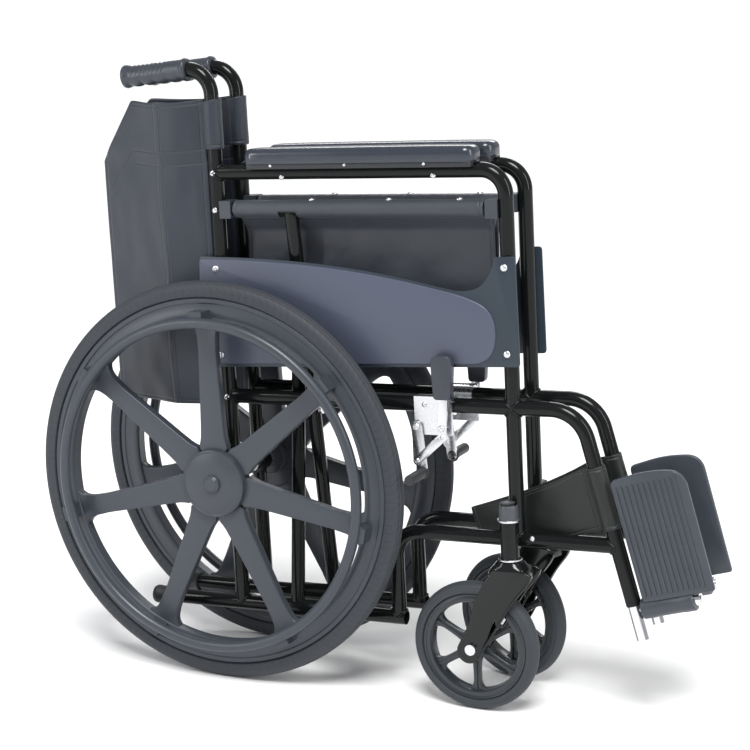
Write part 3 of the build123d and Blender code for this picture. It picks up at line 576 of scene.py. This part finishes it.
WHEEL = at(0.0, -0.094, 0.305) @ OUTWARD
wheel_plastic = finish("wheel_nylon", (0.038, 0.045, 0.057), 0.36, shade=0.10, drift=0.16,
                       grain=0.0009, depth=0.16)
rim_side = [(0.2470, 0.0080), (0.2485, 0.0103), (0.2510, 0.0110), (0.2600, 0.0110), (0.2620, 0.0098),
            (0.2715, 0.0098), (0.2735, 0.0112), (0.2790, 0.0112), (0.2812, 0.0094)]
band = turned(rim_side + [(r, -z) for r, z in rim_side[::-1]] + [rim_side[0]], 168)
hub = turned([(0.0, 0.0225), (0.0095, 0.0225), (0.0105, 0.0216), (0.0120, 0.0216), (0.0132, 0.0204),
              (0.0136, 0.0168), (0.0200, 0.0163), (0.0455, 0.0160), (0.0466, 0.0153), (0.0478, 0.0153),
              (0.0490, 0.0161), (0.0508, 0.0152), (0.0516, 0.0130), (0.0516, -0.0090), (0.0490, -0.0120),
              (0.0275, -0.0122), (0.0270, -0.0215), (0.0255, -0.0230), (0.0063, -0.0230),
              (0.0063, 0.0050), (0.0, 0.0050)], 96)
arms = spoke_ring([(0.045, 0.030), (0.050, 0.0265), (0.055, 0.0240), (0.062, 0.0217), (0.070, 0.0202),
                   (0.085, 0.0192), (0.100, 0.0186), (0.150, 0.0166), (0.200, 0.0148), (0.222, 0.0156),
                   (0.232, 0.0174), (0.238, 0.0198), (0.242, 0.0232), (0.2455, 0.0285),
                   (0.2480, 0.0350), (0.2500, 0.0420)], 7, 0.015, 0.0026)
fit(moved(joined(band, hub, arms), WHEEL), "rear_wheel", "wheel", wheel_plastic,
    instead=("rear_rim",), sharp=32)
dress(both("handrim"), wheel_plastic)
dress(both("rear_axle"), bright_zinc)


def ramp(tree, value, start, end, low, high, smooth=True):
    """One range laid on another, with eased or straight ends."""
    return add(tree, "ShaderNodeMapRange", {
        "Value": value, "From Min": start, "From Max": end, "To Min": low, "To Max": high},
        interpolation_type="SMOOTHSTEP" if smooth else "LINEAR").outputs[0]


def along(tree, layer):
    """A cloth's or tyre's own lengthwise and crosswise lengths, in metres."""
    return add(tree, "ShaderNodeSeparateXYZ",
               {0: add(tree, "ShaderNodeUVMap", uv_map=layer).outputs[0]}).outputs


def build_tread():
    """Height of slanting cuts round a tyre, from its own lengthwise and crosswise lengths."""
    tree, given, out = group("tread", [("Pitch", "Float", 0.012), ("Wide", "Float", 0.013)],
                             [("Height", "Float")])
    run = along(tree, "run")
    side = sums(tree, "ABSOLUTE", run["Y"])
    slant = sums(tree, "MULTIPLY", sums(tree, "MULTIPLY_ADD", side, 0.8, run["X"]), 2 * pi)
    wave = sums(tree, "SINE", sums(tree, "DIVIDE", slant, given["Pitch"]))
    cut = ramp(tree, wave, 0.55, 0.8, 1.0, 0.0)
    inner = ramp(tree, sums(tree, "DIVIDE", side, given["Wide"]), 0.25, 0.35, 1.0, 0.0)
    tree.links.new(sums(tree, "MAXIMUM", cut, inner), out["Height"])
    return tree


def tyre(inner, outer, wide, grooves, steps):
    """A solid tyre section with shallow ring grooves, with its run laid out as a map."""
    round_r = wide / 2
    section = [(inner, -round_r + 0.0016), (inner + 0.0012, -round_r)]
    crown = outer - round_r
    for i in range(41):
        a = -pi / 2 + pi * i / 40
        dip = max(0.0, 1 - min(abs(a - g) for g in grooves) / 0.075) * 0.0011
        section.append((crown + (round_r - dip) * cos(a), (round_r - dip) * sin(a)))
    section += [(inner + 0.0012, round_r), (inner, round_r - 0.0016), section[0]]
    shape = turned(section, steps)
    run = shape.loops.layers.uv.new("run")
    for face in shape.faces:
        middle = atan2(face.calc_center_median().y, face.calc_center_median().x)
        for loop in face.loops:
            co = loop.vert.co
            turn = atan2(co.y, co.x)
            turn += 2 * pi * round((middle - turn) / (2 * pi))
            lean_out = atan2(co.z, max(1e-4, sqrt(co.x ** 2 + co.y ** 2) - crown))
            loop[run].uv = (turn * outer, lean_out * round_r)
    return shape


def tread_finish(name, colour, pitch, wide):
    made = finish(name, colour, 0.62, shade=0.18, drift=0.09, spread=0.2, grain=0.0007, depth=0.2)
    tree = made.node_tree
    cuts = add(tree, "ShaderNodeGroup", node_tree=TREAD)
    cuts.inputs["Pitch"].default_value, cuts.inputs["Wide"].default_value = pitch, wide
    skin = tree.nodes["Principled BSDF"].inputs["Normal"]
    tree.links.new(bumped(tree, cuts.outputs["Height"], 0.7, 0.0008, skin.links[0].from_socket), skin)
    return made


TREAD = build_tread()
rear_rubber = tread_finish("rear_tyre_rubber", (0.027, 0.032, 0.040), 0.0125, 0.0130)
fit(moved(tyre(0.2812, 0.3050, 0.0260, (-0.62, 0.0, 0.62), 216), WHEEL), "rear_tread", "wheel",
    rear_rubber, instead=("rear_tyre",), sharp=50)


# ---- Casters -------------------------------------------------------------------------------
# Solid-tyred six-spoke casters in glossy black moulded forks. The fork's crown turns on the
# stem under the housing, and the wheel runs on a through bolt with a bright head.
CASTER_X, CASTER_Z = 0.397, 0.07776
CASTER = at(CASTER_X, STEM_Y, CASTER_Z) @ OUTWARD
fork_gloss = finish("fork_gloss", (0.0050, 0.0060, 0.0062), 0.16, shade=0.25, drift=0.05, spread=0.1,
                    grain=0.0014, depth=0.08, specular_ior_level=0.3, coat_weight=0.2,
                    coat_roughness=0.06)
FORK_IN, FORK_OUT = 0.0173, 0.0223
foot = [(0.3925 + 0.0180 * cos(radians(a)), 0.0735 + 0.0180 * sin(radians(a)))
        for a in range(-35, -206, -10)]
front = [(0.4930, 0.1930, 0.003), (0.4880, 0.1810, 0.010), (0.4630, 0.1520, 0.020),
         (0.4350, 0.1060, 0.020)]
leg = rounded([(0.4330, 0.1990, 0.003), (0.4820, 0.1990, 0.006)] + front, 5)
leg = [tuple(p) for p in leg] + foot + [(0.3950, 0.1170), (0.4040, 0.1490), (0.4180, 0.1760)]
lip = rounded(front + [(0.4080, 0.0640, 0)], 5)[6:]
legs = []
for side in (-1, 1):
    low, high = sorted(side * gap - STEM_Y for gap in (FORK_IN, FORK_OUT))
    legs.append(moved(soften(plate(leg, low, high), 0.0014), OUTWARD))
    ridge = [Vector((p.x - 0.0014, STEM_Y - side * (FORK_OUT - 0.0004), p.y + 0.0006)) for p in lip]
    legs.append(wire(ridge, 0.0018, sides=3))
crown = bmesh.new()
for z, wide, deep in ((0.1830, 0.0300, 0.0223), (0.1915, 0.0310, 0.0223), (0.1985, 0.0275, 0.0218),
                      (0.2040, 0.0225, 0.0200), (0.2090, 0.0195, 0.0185)):
    ring = []
    for i in range(48):
        a = 2 * pi * i / 48
        power = 0.5 if z < 0.2 else (0.8 if z < 0.206 else 1.0)
        ring.append(crown.verts.new((
            STEM_X + wide * (abs(cos(a)) ** power) * (1 if cos(a) > 0 else -1),
            STEM_Y + deep * (abs(sin(a)) ** power) * (1 if sin(a) > 0 else -1), z)))
    for a, b in zip(ring, ring[1:] + ring[:1]):
        crown.edges.new((a, b))
crown.edges.ensure_lookup_table()
loops = [crown.edges[i * 48:(i + 1) * 48] for i in range(5)]
for low, high in zip(loops, loops[1:]):
    bmesh.ops.bridge_loops(crown, edges=low + high)
bmesh.ops.holes_fill(crown, edges=[e for e in crown.edges if e.is_boundary], sides=0)
bmesh.ops.recalc_face_normals(crown, faces=crown.faces[:])
stem = moved(turned([(0.0, 0.0), (0.006, 0.0), (0.006, 0.075), (0.0, 0.075)], 24),
             at(STEM_X, STEM_Y, 0.2065))
fit(joined(crown, *legs, stem), "caster_yoke", "caster_fork", fork_gloss,
    instead=("caster_fork",), sharp=40)
dress(both("caster_axle"), bright_zinc)

caster_side = [(0.0670, 0.0090), (0.0684, 0.0116), (0.0705, 0.0121), (0.0740, 0.0116), (0.0760, 0.0106),
               (0.0785, 0.0116), (0.0800, 0.0106)]
caster_band = turned(caster_side + [(r, -z) for r, z in caster_side[::-1]] + [caster_side[0]], 96)
caster_hub = turned([(0.0042, 0.0170), (0.0110, 0.0170), (0.0128, 0.0158), (0.0150, 0.0150),
                     (0.0172, 0.0110), (0.0176, -0.0110), (0.0150, -0.0150), (0.0128, -0.0158),
                     (0.0110, -0.0170), (0.0042, -0.0170), (0.0042, 0.0170)], 48)
caster_arms = spoke_ring([(0.0160, 0.0098), (0.0190, 0.0088), (0.0230, 0.0070), (0.0290, 0.0058),
                          (0.0400, 0.0052), (0.0540, 0.0053), (0.0590, 0.0064), (0.0625, 0.0085),
                          (0.0655, 0.0120), (0.0675, 0.0165)], 6, 0.010, 0.0018)
caster_plastic = finish("caster_nylon", (0.021, 0.026, 0.031), 0.28, shade=0.14, drift=0.08,
                        grain=0.0009, depth=0.14)
ribs = [moved(soften(plate([(0.015, -0.0016), (0.0675, -0.0016), (0.0675, 0.0016), (0.015, 0.0016)],
                           -0.0085, 0.0085), 0.0007, 2), Matrix.Rotation(pi / 2 + i * pi / 3, 4, "Z"))
        for i in range(6)]
fit(moved(joined(caster_band, caster_hub, caster_arms, *ribs), CASTER), "caster_disc", "caster_wheel",
    caster_plastic, instead=("caster_rim",), sharp=32)
caster_rubber = tread_finish("caster_tyre_rubber", (0.027, 0.033, 0.040), 0.30, 0.0130)
fit(moved(tyre(0.0800, 0.0960, 0.0280, (-1.15, 1.15), 96), CASTER), "caster_tread", "caster_wheel",
    caster_rubber, instead=("caster_tyre",), sharp=50)


# ---- Wheel locks ---------------------------------------------------------------------------
# Bright zinc-plated strip, pressed and riveted: a clamp plate on the upper rail, a hand lever
# with a black grip, a link, and the shoe arm whose pad bears on the tyre.
def bar(a, b, ra, rb, low, high, edge=0.0005):
    """A flat strip with round ends between two points in x and z."""
    run = Vector((b[0] - a[0], b[1] - a[1]))
    heading = atan2(run.y, run.x)
    lean_in = asin((ra - rb) / run.length)
    outline = []
    for centre, radius, start, end in ((b, rb, -pi / 2 + lean_in, pi / 2 - lean_in),
                                       (a, ra, pi / 2 - lean_in, 3 * pi / 2 + lean_in)):
        for i in range(13):
            turn = heading + start + (end - start) * i / 12
            outline.append((centre[0] + radius * cos(turn), centre[1] + radius * sin(turn)))
    return moved(soften(plate(outline, low, high), edge, 2), OUTWARD)


dress(both("brake_bracket"), bright_zinc)
LEVER_PIN, SHOE_PIN = (0.356, 0.396), (0.314, 0.396)
fit(joined(screw(*LEVER_PIN, 0.0650, 0.0052, 0.0028), screw(*SHOE_PIN, 0.0583, 0.0052, 0.0028),
           screw(0.326, 0.428, 0.0528, 0.0038, 0.0020), screw(0.352, 0.428, 0.0528, 0.0038, 0.0020)),
    "lock_rivets", "frame", bright_zinc)
LINK_TOP, LINK_LOW, PAD = (0.357, 0.384), (0.314, 0.346), (0.3205, 0.328)
shoe_arm = joined(bar(SHOE_PIN, PAD, 0.0085, 0.0080, 0.0542, 0.0580),
                  bar(SHOE_PIN, LINK_LOW, 0.0070, 0.0070, 0.0543, 0.0579))
fit(shoe_arm, "lock_arm", "brake_shoe", bright_zinc, instead=("brake_shoe",))
shoe_profile = [(0.0, 0.0), (0.0074, 0.0), (0.0098, 0.0006), (0.0104, 0.0022), (0.0098, 0.0038),
                (0.0080, 0.0046), (0.0078, 0.0500), (0.0074, 0.0522), (0.0055, 0.0530), (0.0, 0.0530)]
fit(moved(turned(shoe_profile, 40), at(PAD[0], -0.0542, PAD[1]) @ OUTWARD),
    "lock_shoe", "brake_shoe", rubber)
fit(screw(*LINK_LOW, 0.0604, 0.0044, 0.0022), "link_rivet", "brake_shoe", bright_zinc)
fit(bar(LINK_TOP, LINK_LOW, 0.0062, 0.0062, 0.0586, 0.0604), "lock_link", "brake_link",
    bright_zinc, instead=("brake_link",))
lever = joined(bar(LEVER_PIN, (0.361, 0.446), 0.0074, 0.0066, 0.0610, 0.0646),
               bar(LEVER_PIN, LINK_TOP, 0.0074, 0.0064, 0.0611, 0.0645),
               screw(*LINK_TOP, 0.0646, 0.0036, 0.0018))
fit(lever, "lock_lever", "brake_lever", bright_zinc, instead=("brake_lever",))
paddle = rounded([(0.3490, 0.4400, 0.006), (0.3750, 0.4400, 0.006), (0.3795, 0.4960, 0.010),
                  (0.3735, 0.5040, 0.006), (0.3525, 0.5040, 0.006), (0.3465, 0.4960, 0.010)], 6)
fit(moved(soften(plate(paddle, 0.0600, 0.0745), 0.0050, 4), OUTWARD), "lever_grip",
    "brake_lever", grip_rubber)


# ---- Footrests -----------------------------------------------------------------------------
# A chromed stem slides up the hanger, and a ribbed moulded footplate hinges on the rod that
# runs forward from its foot. Folded, the plate stands up beside the hanger.
chrome = finish("chromed_steel", (0.78, 0.79, 0.81), 0.09, shade=0.05, drift=0.03, spread=0.08,
                grain=0.003, depth=0.03, metallic=1.0)
dress(both("footrest_stem"), chrome)
PIVOT_Z = 0.143
PLATE = Matrix(((TILT_C, -TILT_S, 0.0, hanger_x(PIVOT_Z)), (0.0, 0.0, -1.0, SIDE_Y),
                (TILT_S, TILT_C, 0.0, PIVOT_Z), (0.0, 0.0, 0.0, 1.0)))
black_nylon = finish("black_nylon", (0.040, 0.048, 0.060), 0.36, shade=0.2, drift=0.05, grain=0.0009,
                     depth=0.22)
tread_edge = rounded([(0.018, 0.010, 0.004), (0.124, 0.010, 0.004), (0.1255, 0.184, 0.024),
                      (0.072, 0.1925, 0.020), (0.018, 0.188, 0.008)], 8)
tread_plate = soften(plate(tread_edge, 0.004, 0.012), 0.0022)
tread_ribs = [soften(plate(rounded([(x - 0.0019, 0.018, 0.0015), (x + 0.0019, 0.018, 0.0015),
                                    (x + 0.0019, 0.178, 0.0015), (x - 0.0019, 0.178, 0.0015)], 3),
                           0.0115, 0.0136), 0.0007, 2)
              for x in [0.0240 + 0.0079 * i for i in range(12)]]
socket = turned([(0.0053, 0.012), (0.0135, 0.012), (0.0150, 0.0135), (0.0150, 0.030), (0.0144, 0.032),
                 (0.0144, 0.070), (0.0150, 0.072), (0.0150, 0.0885), (0.0135, 0.090), (0.0053, 0.090),
                 (0.0053, 0.012)], 48)
socket.transform(Matrix.Rotation(pi / 2, 4, "Y"))
fit(moved(joined(tread_plate, socket, *tread_ribs), PLATE), "foot_tread", "footplate", black_nylon,
    instead=("footplate",))


# ---- Cross brace ---------------------------------------------------------------------------
# Two struts pinned at their middles, each welded to a seat rail at the top and to a sleeve on
# the other side's bottom rail. Hard plastic blocks at the rail ends slide on the uprights.
dress(["brace_a", "brace_b"], frame_paint)
dress(["brace_bolt"], bright_zinc)
dress(both("rail_guides"), black_nylon)


# ---- Seat cloth ----------------------------------------------------------------------------
# Coated nylon sewn into a sleeve round each seat rail. Folded, each half drops from its rail
# to the middle and hangs in a loop there, pushed over by the brace strut it rests against.
def build_weave():
    """Plain weave from the cloth's own lengths: height of the threads and where they dip."""
    tree, given, out = group("weave", [("Pitch", "Float", 0.0008)],
                             [("Height", "Float"), ("Dip", "Float")])
    parts = along(tree, "cut")
    turn = sums(tree, "DIVIDE", 2 * pi, given["Pitch"])
    warp, weft = [sums(tree, "SINE", sums(tree, "MULTIPLY", parts[axis], turn)) for axis in "XY"]
    over = sums(tree, "MULTIPLY_ADD", sums(tree, "MULTIPLY", warp, weft), 0.5, 0.5)
    slub = add(tree, "ShaderNodeTexNoise", {"Vector": add(tree, "ShaderNodeTexCoord").outputs["Object"],
                                            "Scale": 420.0, "Detail": 2.0})
    tree.links.new(sums(tree, "MULTIPLY_ADD", slub.outputs["Fac"], 0.5, over), out["Height"])
    tree.links.new(over, out["Dip"])
    return tree


STITCH = 0.0042


def build_stitching():
    """A sewn row: a puckered groove with raised thread at each stitch."""
    tree, given, out = group("stitching", [("Off", "Float", 0.0), ("Run", "Float", 0.0)],
                             [("Height", "Float"), ("Thread", "Float")])
    off = sums(tree, "ABSOLUTE", given["Off"])
    near = ramp(tree, off, 0.0002, 0.0022, -1.0, 0.0)
    on = ramp(tree, off, 0.0004, 0.0007, 1.0, 0.0, smooth=False)
    beat = sums(tree, "SINE", sums(tree, "MULTIPLY", given["Run"], 2 * pi / STITCH))
    dash = sums(tree, "GREATER_THAN", beat, -0.35)
    thread = sums(tree, "MULTIPLY", on, dash)
    tree.links.new(sums(tree, "MULTIPLY_ADD", thread, 0.9, near), out["Height"])
    tree.links.new(thread, out["Thread"])
    return tree


WEAVE, STITCHING = build_weave(), build_stitching()


def cloth_finish(name, colour, rough, rows, pitch=0.0011):
    """Coated weave with sewn rows; a row is the axis it is measured on and its place there."""
    made = finish(name, colour, rough, shade=0.16, drift=0.07, spread=0.14, grain=0.0011, depth=0.12,
                  sheen_weight=0.08, sheen_roughness=0.45)
    tree = made.node_tree
    parts = along(tree, "cut")
    threads = add(tree, "ShaderNodeGroup", node_tree=WEAVE)
    threads.inputs["Pitch"].default_value = pitch
    skin = tree.nodes["Principled BSDF"].inputs
    normal = bumped(tree, threads.outputs["Height"], 0.35, 0.0003, skin["Normal"].links[0].from_socket)
    tint = skin["Base Color"].links[0].from_socket
    for axis, at in rows:
        across, run = (("X", "Y") if axis == "X" else ("Y", "X"))
        sewn = add(tree, "ShaderNodeGroup", {"Off": sums(tree, "SUBTRACT", parts[across], at),
                                             "Run": parts[run]}, node_tree=STITCHING)
        normal = bumped(tree, sewn.outputs["Height"], 0.8, 0.0009, normal)
        tint = add(tree, "ShaderNodeMix", {"Factor": sewn.outputs["Thread"], 6: tint,
                                           7: (0.05, 0.056, 0.068, 1.0)}, data_type="RGBA").outputs[2]
    tree.links.new(tint, skin["Base Color"])
    tree.links.new(normal, skin["Normal"])
    return made


def spaced(points):
    """Running length at each point of a line."""
    total = [0.0]
    for a, b in zip(points, points[1:]):
        total.append(total[-1] + (Vector(b) - Vector(a)).length)
    return total


def on_line(points, runs, s):
    """The point that far down the line, and which way is square to it."""
    s = min(max(s, 0.0), runs[-1])
    i = next(k for k in range(1, len(runs)) if s <= runs[k] + 1e-9)
    t = (s - runs[i - 1]) / max(runs[i] - runs[i - 1], 1e-9)
    a, b = Vector(points[i - 1]), Vector(points[i])
    return a.lerp(b, t), Vector((-(b - a).y, (b - a).x)).normalized()


def cloth(wide, long, cuts, place):
    """A flat piece of that width and length, laid on by place(width, length)."""
    shape = bmesh.new()
    bmesh.ops.create_grid(shape, x_segments=cuts[0], y_segments=cuts[1], size=0.5)
    cut = shape.loops.layers.uv.new("cut")
    for face in shape.faces:
        for loop in face.loops:
            loop[cut].uv = ((loop.vert.co.x + 0.5) * wide, (loop.vert.co.y + 0.5) * long)
    for vert in shape.verts:
        vert.co = place((vert.co.x + 0.5) * wide, (vert.co.y + 0.5) * long)
    return shape


def drape(shape, name, body, skin, instead, thick=0.0021):
    """Cloth pieces with their thickness and a smooth surface."""
    pieces = fit(shape, name, body, skin, instead=instead, sharp=180)
    for piece in pieces:
        wall = piece.modifiers.new("thickness", "SOLIDIFY")
        wall.thickness, wall.offset = thick, 0.0
        smooth = piece.modifiers.new("smooth", "SUBSURF")
        smooth.levels = smooth.render_levels = 1
    return pieces


def wave(a, b, c, size, amount):
    return amount * noise.noise(Vector((a / size, b / size, c)))


SEAT_Z, SEAT_FROM, SEAT_WIDE = 0.709, 0.030, 0.397
SEAT_TIP = radians(-47.3)
SLEEVE_R = 0.01235
sleeve_turns = [SEAT_TIP + radians(a) for a in range(14, 347, 12)]
seat_line = [(SIDE_Y + SLEEVE_R * cos(a), SEAT_Z + SLEEVE_R * sin(a)) for a in sleeve_turns]
seat_line += [(-0.0262, 0.6956), (-0.0140, 0.6824), (-0.0104, 0.6780), (-0.0086, 0.6730),
              (-0.0080, 0.6640), (-0.0078, 0.6200), (-0.0072, 0.5800), (-0.0055, 0.5400),
              (-0.0032, 0.4920)]
seat_runs = spaced(seat_line)
SLEEVE_RUN = seat_runs[len(sleeve_turns) - 1]


def on_seat(x, s):
    (y, z), square = on_line(seat_line, seat_runs, s)
    free = min(1.0, max(0.0, (s - SLEEVE_RUN - 0.01) / 0.05))
    y += wave(x, s, 1.0, 0.045, 0.0028) * free + wave(x, s, 5.0, 0.014, 0.0005) * free
    if s <= SLEEVE_RUN:
        y += square.x * wave(x, s, 2.0, 0.012, 0.0004)
        z += square.y * wave(x, s, 2.0, 0.012, 0.0004)
    if z < 0.66:
        strut = SIDE_Y + (SEAT_Z - z) * 0.12643
        for centre, sign in ((0.121, 1), (0.095, -1)):
            off = abs(SEAT_FROM + x - centre)
            if sign > 0:
                y = max(y, strut + 0.0123 - 0.45 * max(0.0, off - 0.004))
            else:
                y = min(y, -strut - 0.0123 + 0.45 * max(0.0, off - 0.004))
    return Vector((SEAT_FROM + x, y, z))


seat_skin = cloth_finish("seat_nylon", (0.036, 0.042, 0.054), 0.42,
                         [("Y", SLEEVE_RUN + 0.006), ("X", 0.006), ("X", SEAT_WIDE - 0.006)])
seat = cloth(SEAT_WIDE, seat_runs[-1], (84, 76), on_seat)
gap = [f for f in seat.faces if abs(f.calc_center_median().x - 0.121) < 0.014
       and f.calc_center_median().z < 0.7075 and f.calc_center_median().y < -0.024]
bmesh.ops.delete(seat, geom=gap, context="FACES")
for piece, brace in zip(drape(seat, "seat_cloth", "", seat_skin, ("seat_edge", "seat_panel")),
                        ("brace_b", "brace_a")):
    side = piece.name.split("_")[0]
    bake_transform(piece)


seat_screws = [moved(screw(0.0, 0.0, 0.0, 0.0048, 0.0026),
                     at(x, SIDE_Y, SEAT_Z + 0.0130) @ Matrix.Rotation(-pi / 2, 4, "X"))
               for x in (0.156, 0.279, 0.388)]
for piece, brace in zip(fit(joined(*seat_screws), "seat_screws", "", bright_zinc),
                        ("brace_b", "brace_a")):
    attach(piece, brace)


# ---- Back cloth ----------------------------------------------------------------------------
# The same nylon as a back sling: a deep band wraps each cane at the top, and the sling falls
# back from the canes, turns at a sewn fold and closes to the middle behind the seat.
BACK_LOW, BACK_HIGH, BAND_LOW = 0.412, 0.872, 0.798
back_line = [(-0.0122, -0.0400), (-0.0300, -0.0432), (-0.0560, -0.0470), (-0.0760, -0.0499),
             (-0.0830, -0.0509), (-0.0872, -0.0510), (-0.0912, -0.0497), (-0.0980, -0.0472),
             (-0.1400, -0.0310), (-0.1900, -0.0118), (-0.2170, -0.0022)]
back_runs = spaced(back_line)
SEAM_RUN = back_runs[5]


def on_back(s, h):
    (x, y), square = on_line(back_line, back_runs, s)
    top = BACK_HIGH - max(0.0, -x - 0.146) * 1.30 - 0.004 * sin(pi * min(1.0, s / 0.13))
    z = BACK_LOW + (top - BACK_LOW) * h / (BACK_HIGH - BACK_LOW)
    free = min(1.0, s / 0.02) * min(1.0, (back_runs[-1] - s) / 0.02 + 0.3)
    bulge = wave(s, z, 3.0, 0.11, 0.0050) + wave(s, z * 0.6, 4.0, 0.035, 0.0016)
    bulge += 0.0010 * sin((z - 0.79) * 90) * max(0.0, 1 - abs(z - 0.79) / 0.05)
    return Vector((x + square.x * bulge * free, y + square.y * bulge * free, z))


back_skin = cloth_finish("back_nylon", (0.017, 0.023, 0.035), 0.40,
                         [("X", SEAM_RUN - 0.004), ("X", SEAM_RUN + 0.006), ("X", 0.008),
                          ("X", back_runs[-1] - 0.008), ("Y", 0.006), ("Y", 0.366), ("Y", 0.386),
                          ("Y", 0.454)])
back = cloth(back_runs[-1], BACK_HIGH - BACK_LOW, (60, 100), on_back)
for piece in drape(back, "back_cloth", "", back_skin, ("back_side", "back_centre")):
    side = piece.name.split("_")[0]
    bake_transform(piece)


def on_band(s, h):
    a = pi - 0.10 + (2 * pi - 0.0) * s / BAND_LONG
    r = 0.01345 + wave(s, h, 6.0, 0.016, 0.0006)
    return Vector((r * cos(a), SIDE_Y + r * sin(a), BAND_LOW + h * (1 - 0.03 * (1 - cos(a)))))


BAND_LONG = 2 * pi * 0.01345
band_cloth = cloth(BAND_LONG, BACK_HIGH - BAND_LOW, (40, 20), on_band)
bmesh.ops.remove_doubles(band_cloth, verts=band_cloth.verts[:], dist=0.0004)
for piece in drape(band_cloth, "back_sleeve", "back_side", back_skin, (), thick=0.0020):
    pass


# ---- Calf strap ----------------------------------------------------------------------------
# A doubled nylon strap sewn round each hanger. Folded, its two halves run back and inward and
# meet behind the casters' housings.
CALF_Z, CALF_HIGH, CALF_TURN = 0.303, 0.092, radians(180 - 9.9)
CALF = Matrix(((TILT_C, 0.0, -TILT_S, hanger_x(CALF_Z)), (0.0, 1.0, 0.0, SIDE_Y),
               (TILT_S, 0.0, TILT_C, CALF_Z), (0.0, 0.0, 0.0, 1.0)))
calf_line = [(0.01255 * cos(CALF_TURN + radians(a)), 0.01255 * sin(CALF_TURN + radians(a)))
             for a in range(12, 349, 12)]
calf_line += [(0.020 * cos(CALF_TURN), 0.020 * sin(CALF_TURN)),
              (0.120 * cos(CALF_TURN), 0.120 * sin(CALF_TURN) - 0.001),
              (0.222 * cos(CALF_TURN), 0.222 * sin(CALF_TURN) - 0.001)]
calf_runs = spaced(calf_line)
CALF_SEW = calf_runs[len(range(12, 349, 12))]


def on_calf(s, h):
    (x, y), square = on_line(calf_line, calf_runs, s)
    free = min(1.0, max(0.0, (s - CALF_SEW) / 0.04))
    bulge = wave(s, h, 8.0, 0.05, 0.0024) * free + wave(s, h, 9.0, 0.013, 0.0004)
    sag = -0.006 * free * sin(pi * min(1.0, (s - CALF_SEW) / 0.2))
    taper = max(0.0, (s - CALF_SEW) / (calf_runs[-1] - CALF_SEW))
    rise = (h - CALF_HIGH / 2) * (1 - 0.38 * taper) - 0.010 * taper
    return CALF @ Vector((x + square.x * bulge, y + square.y * bulge, rise + sag))


calf_skin = cloth_finish("calf_nylon", (0.0050, 0.0078, 0.0070), 0.42,
                         [("X", CALF_SEW + 0.004), ("Y", 0.005), ("Y", CALF_HIGH - 0.005),
                          ("X", calf_runs[-1] - 0.006)])
for piece in drape(cloth(calf_runs[-1], CALF_HIGH, (100, 30), on_calf), "calf_cloth", "calf_strap",
                   calf_skin, ("calf_strap",)):
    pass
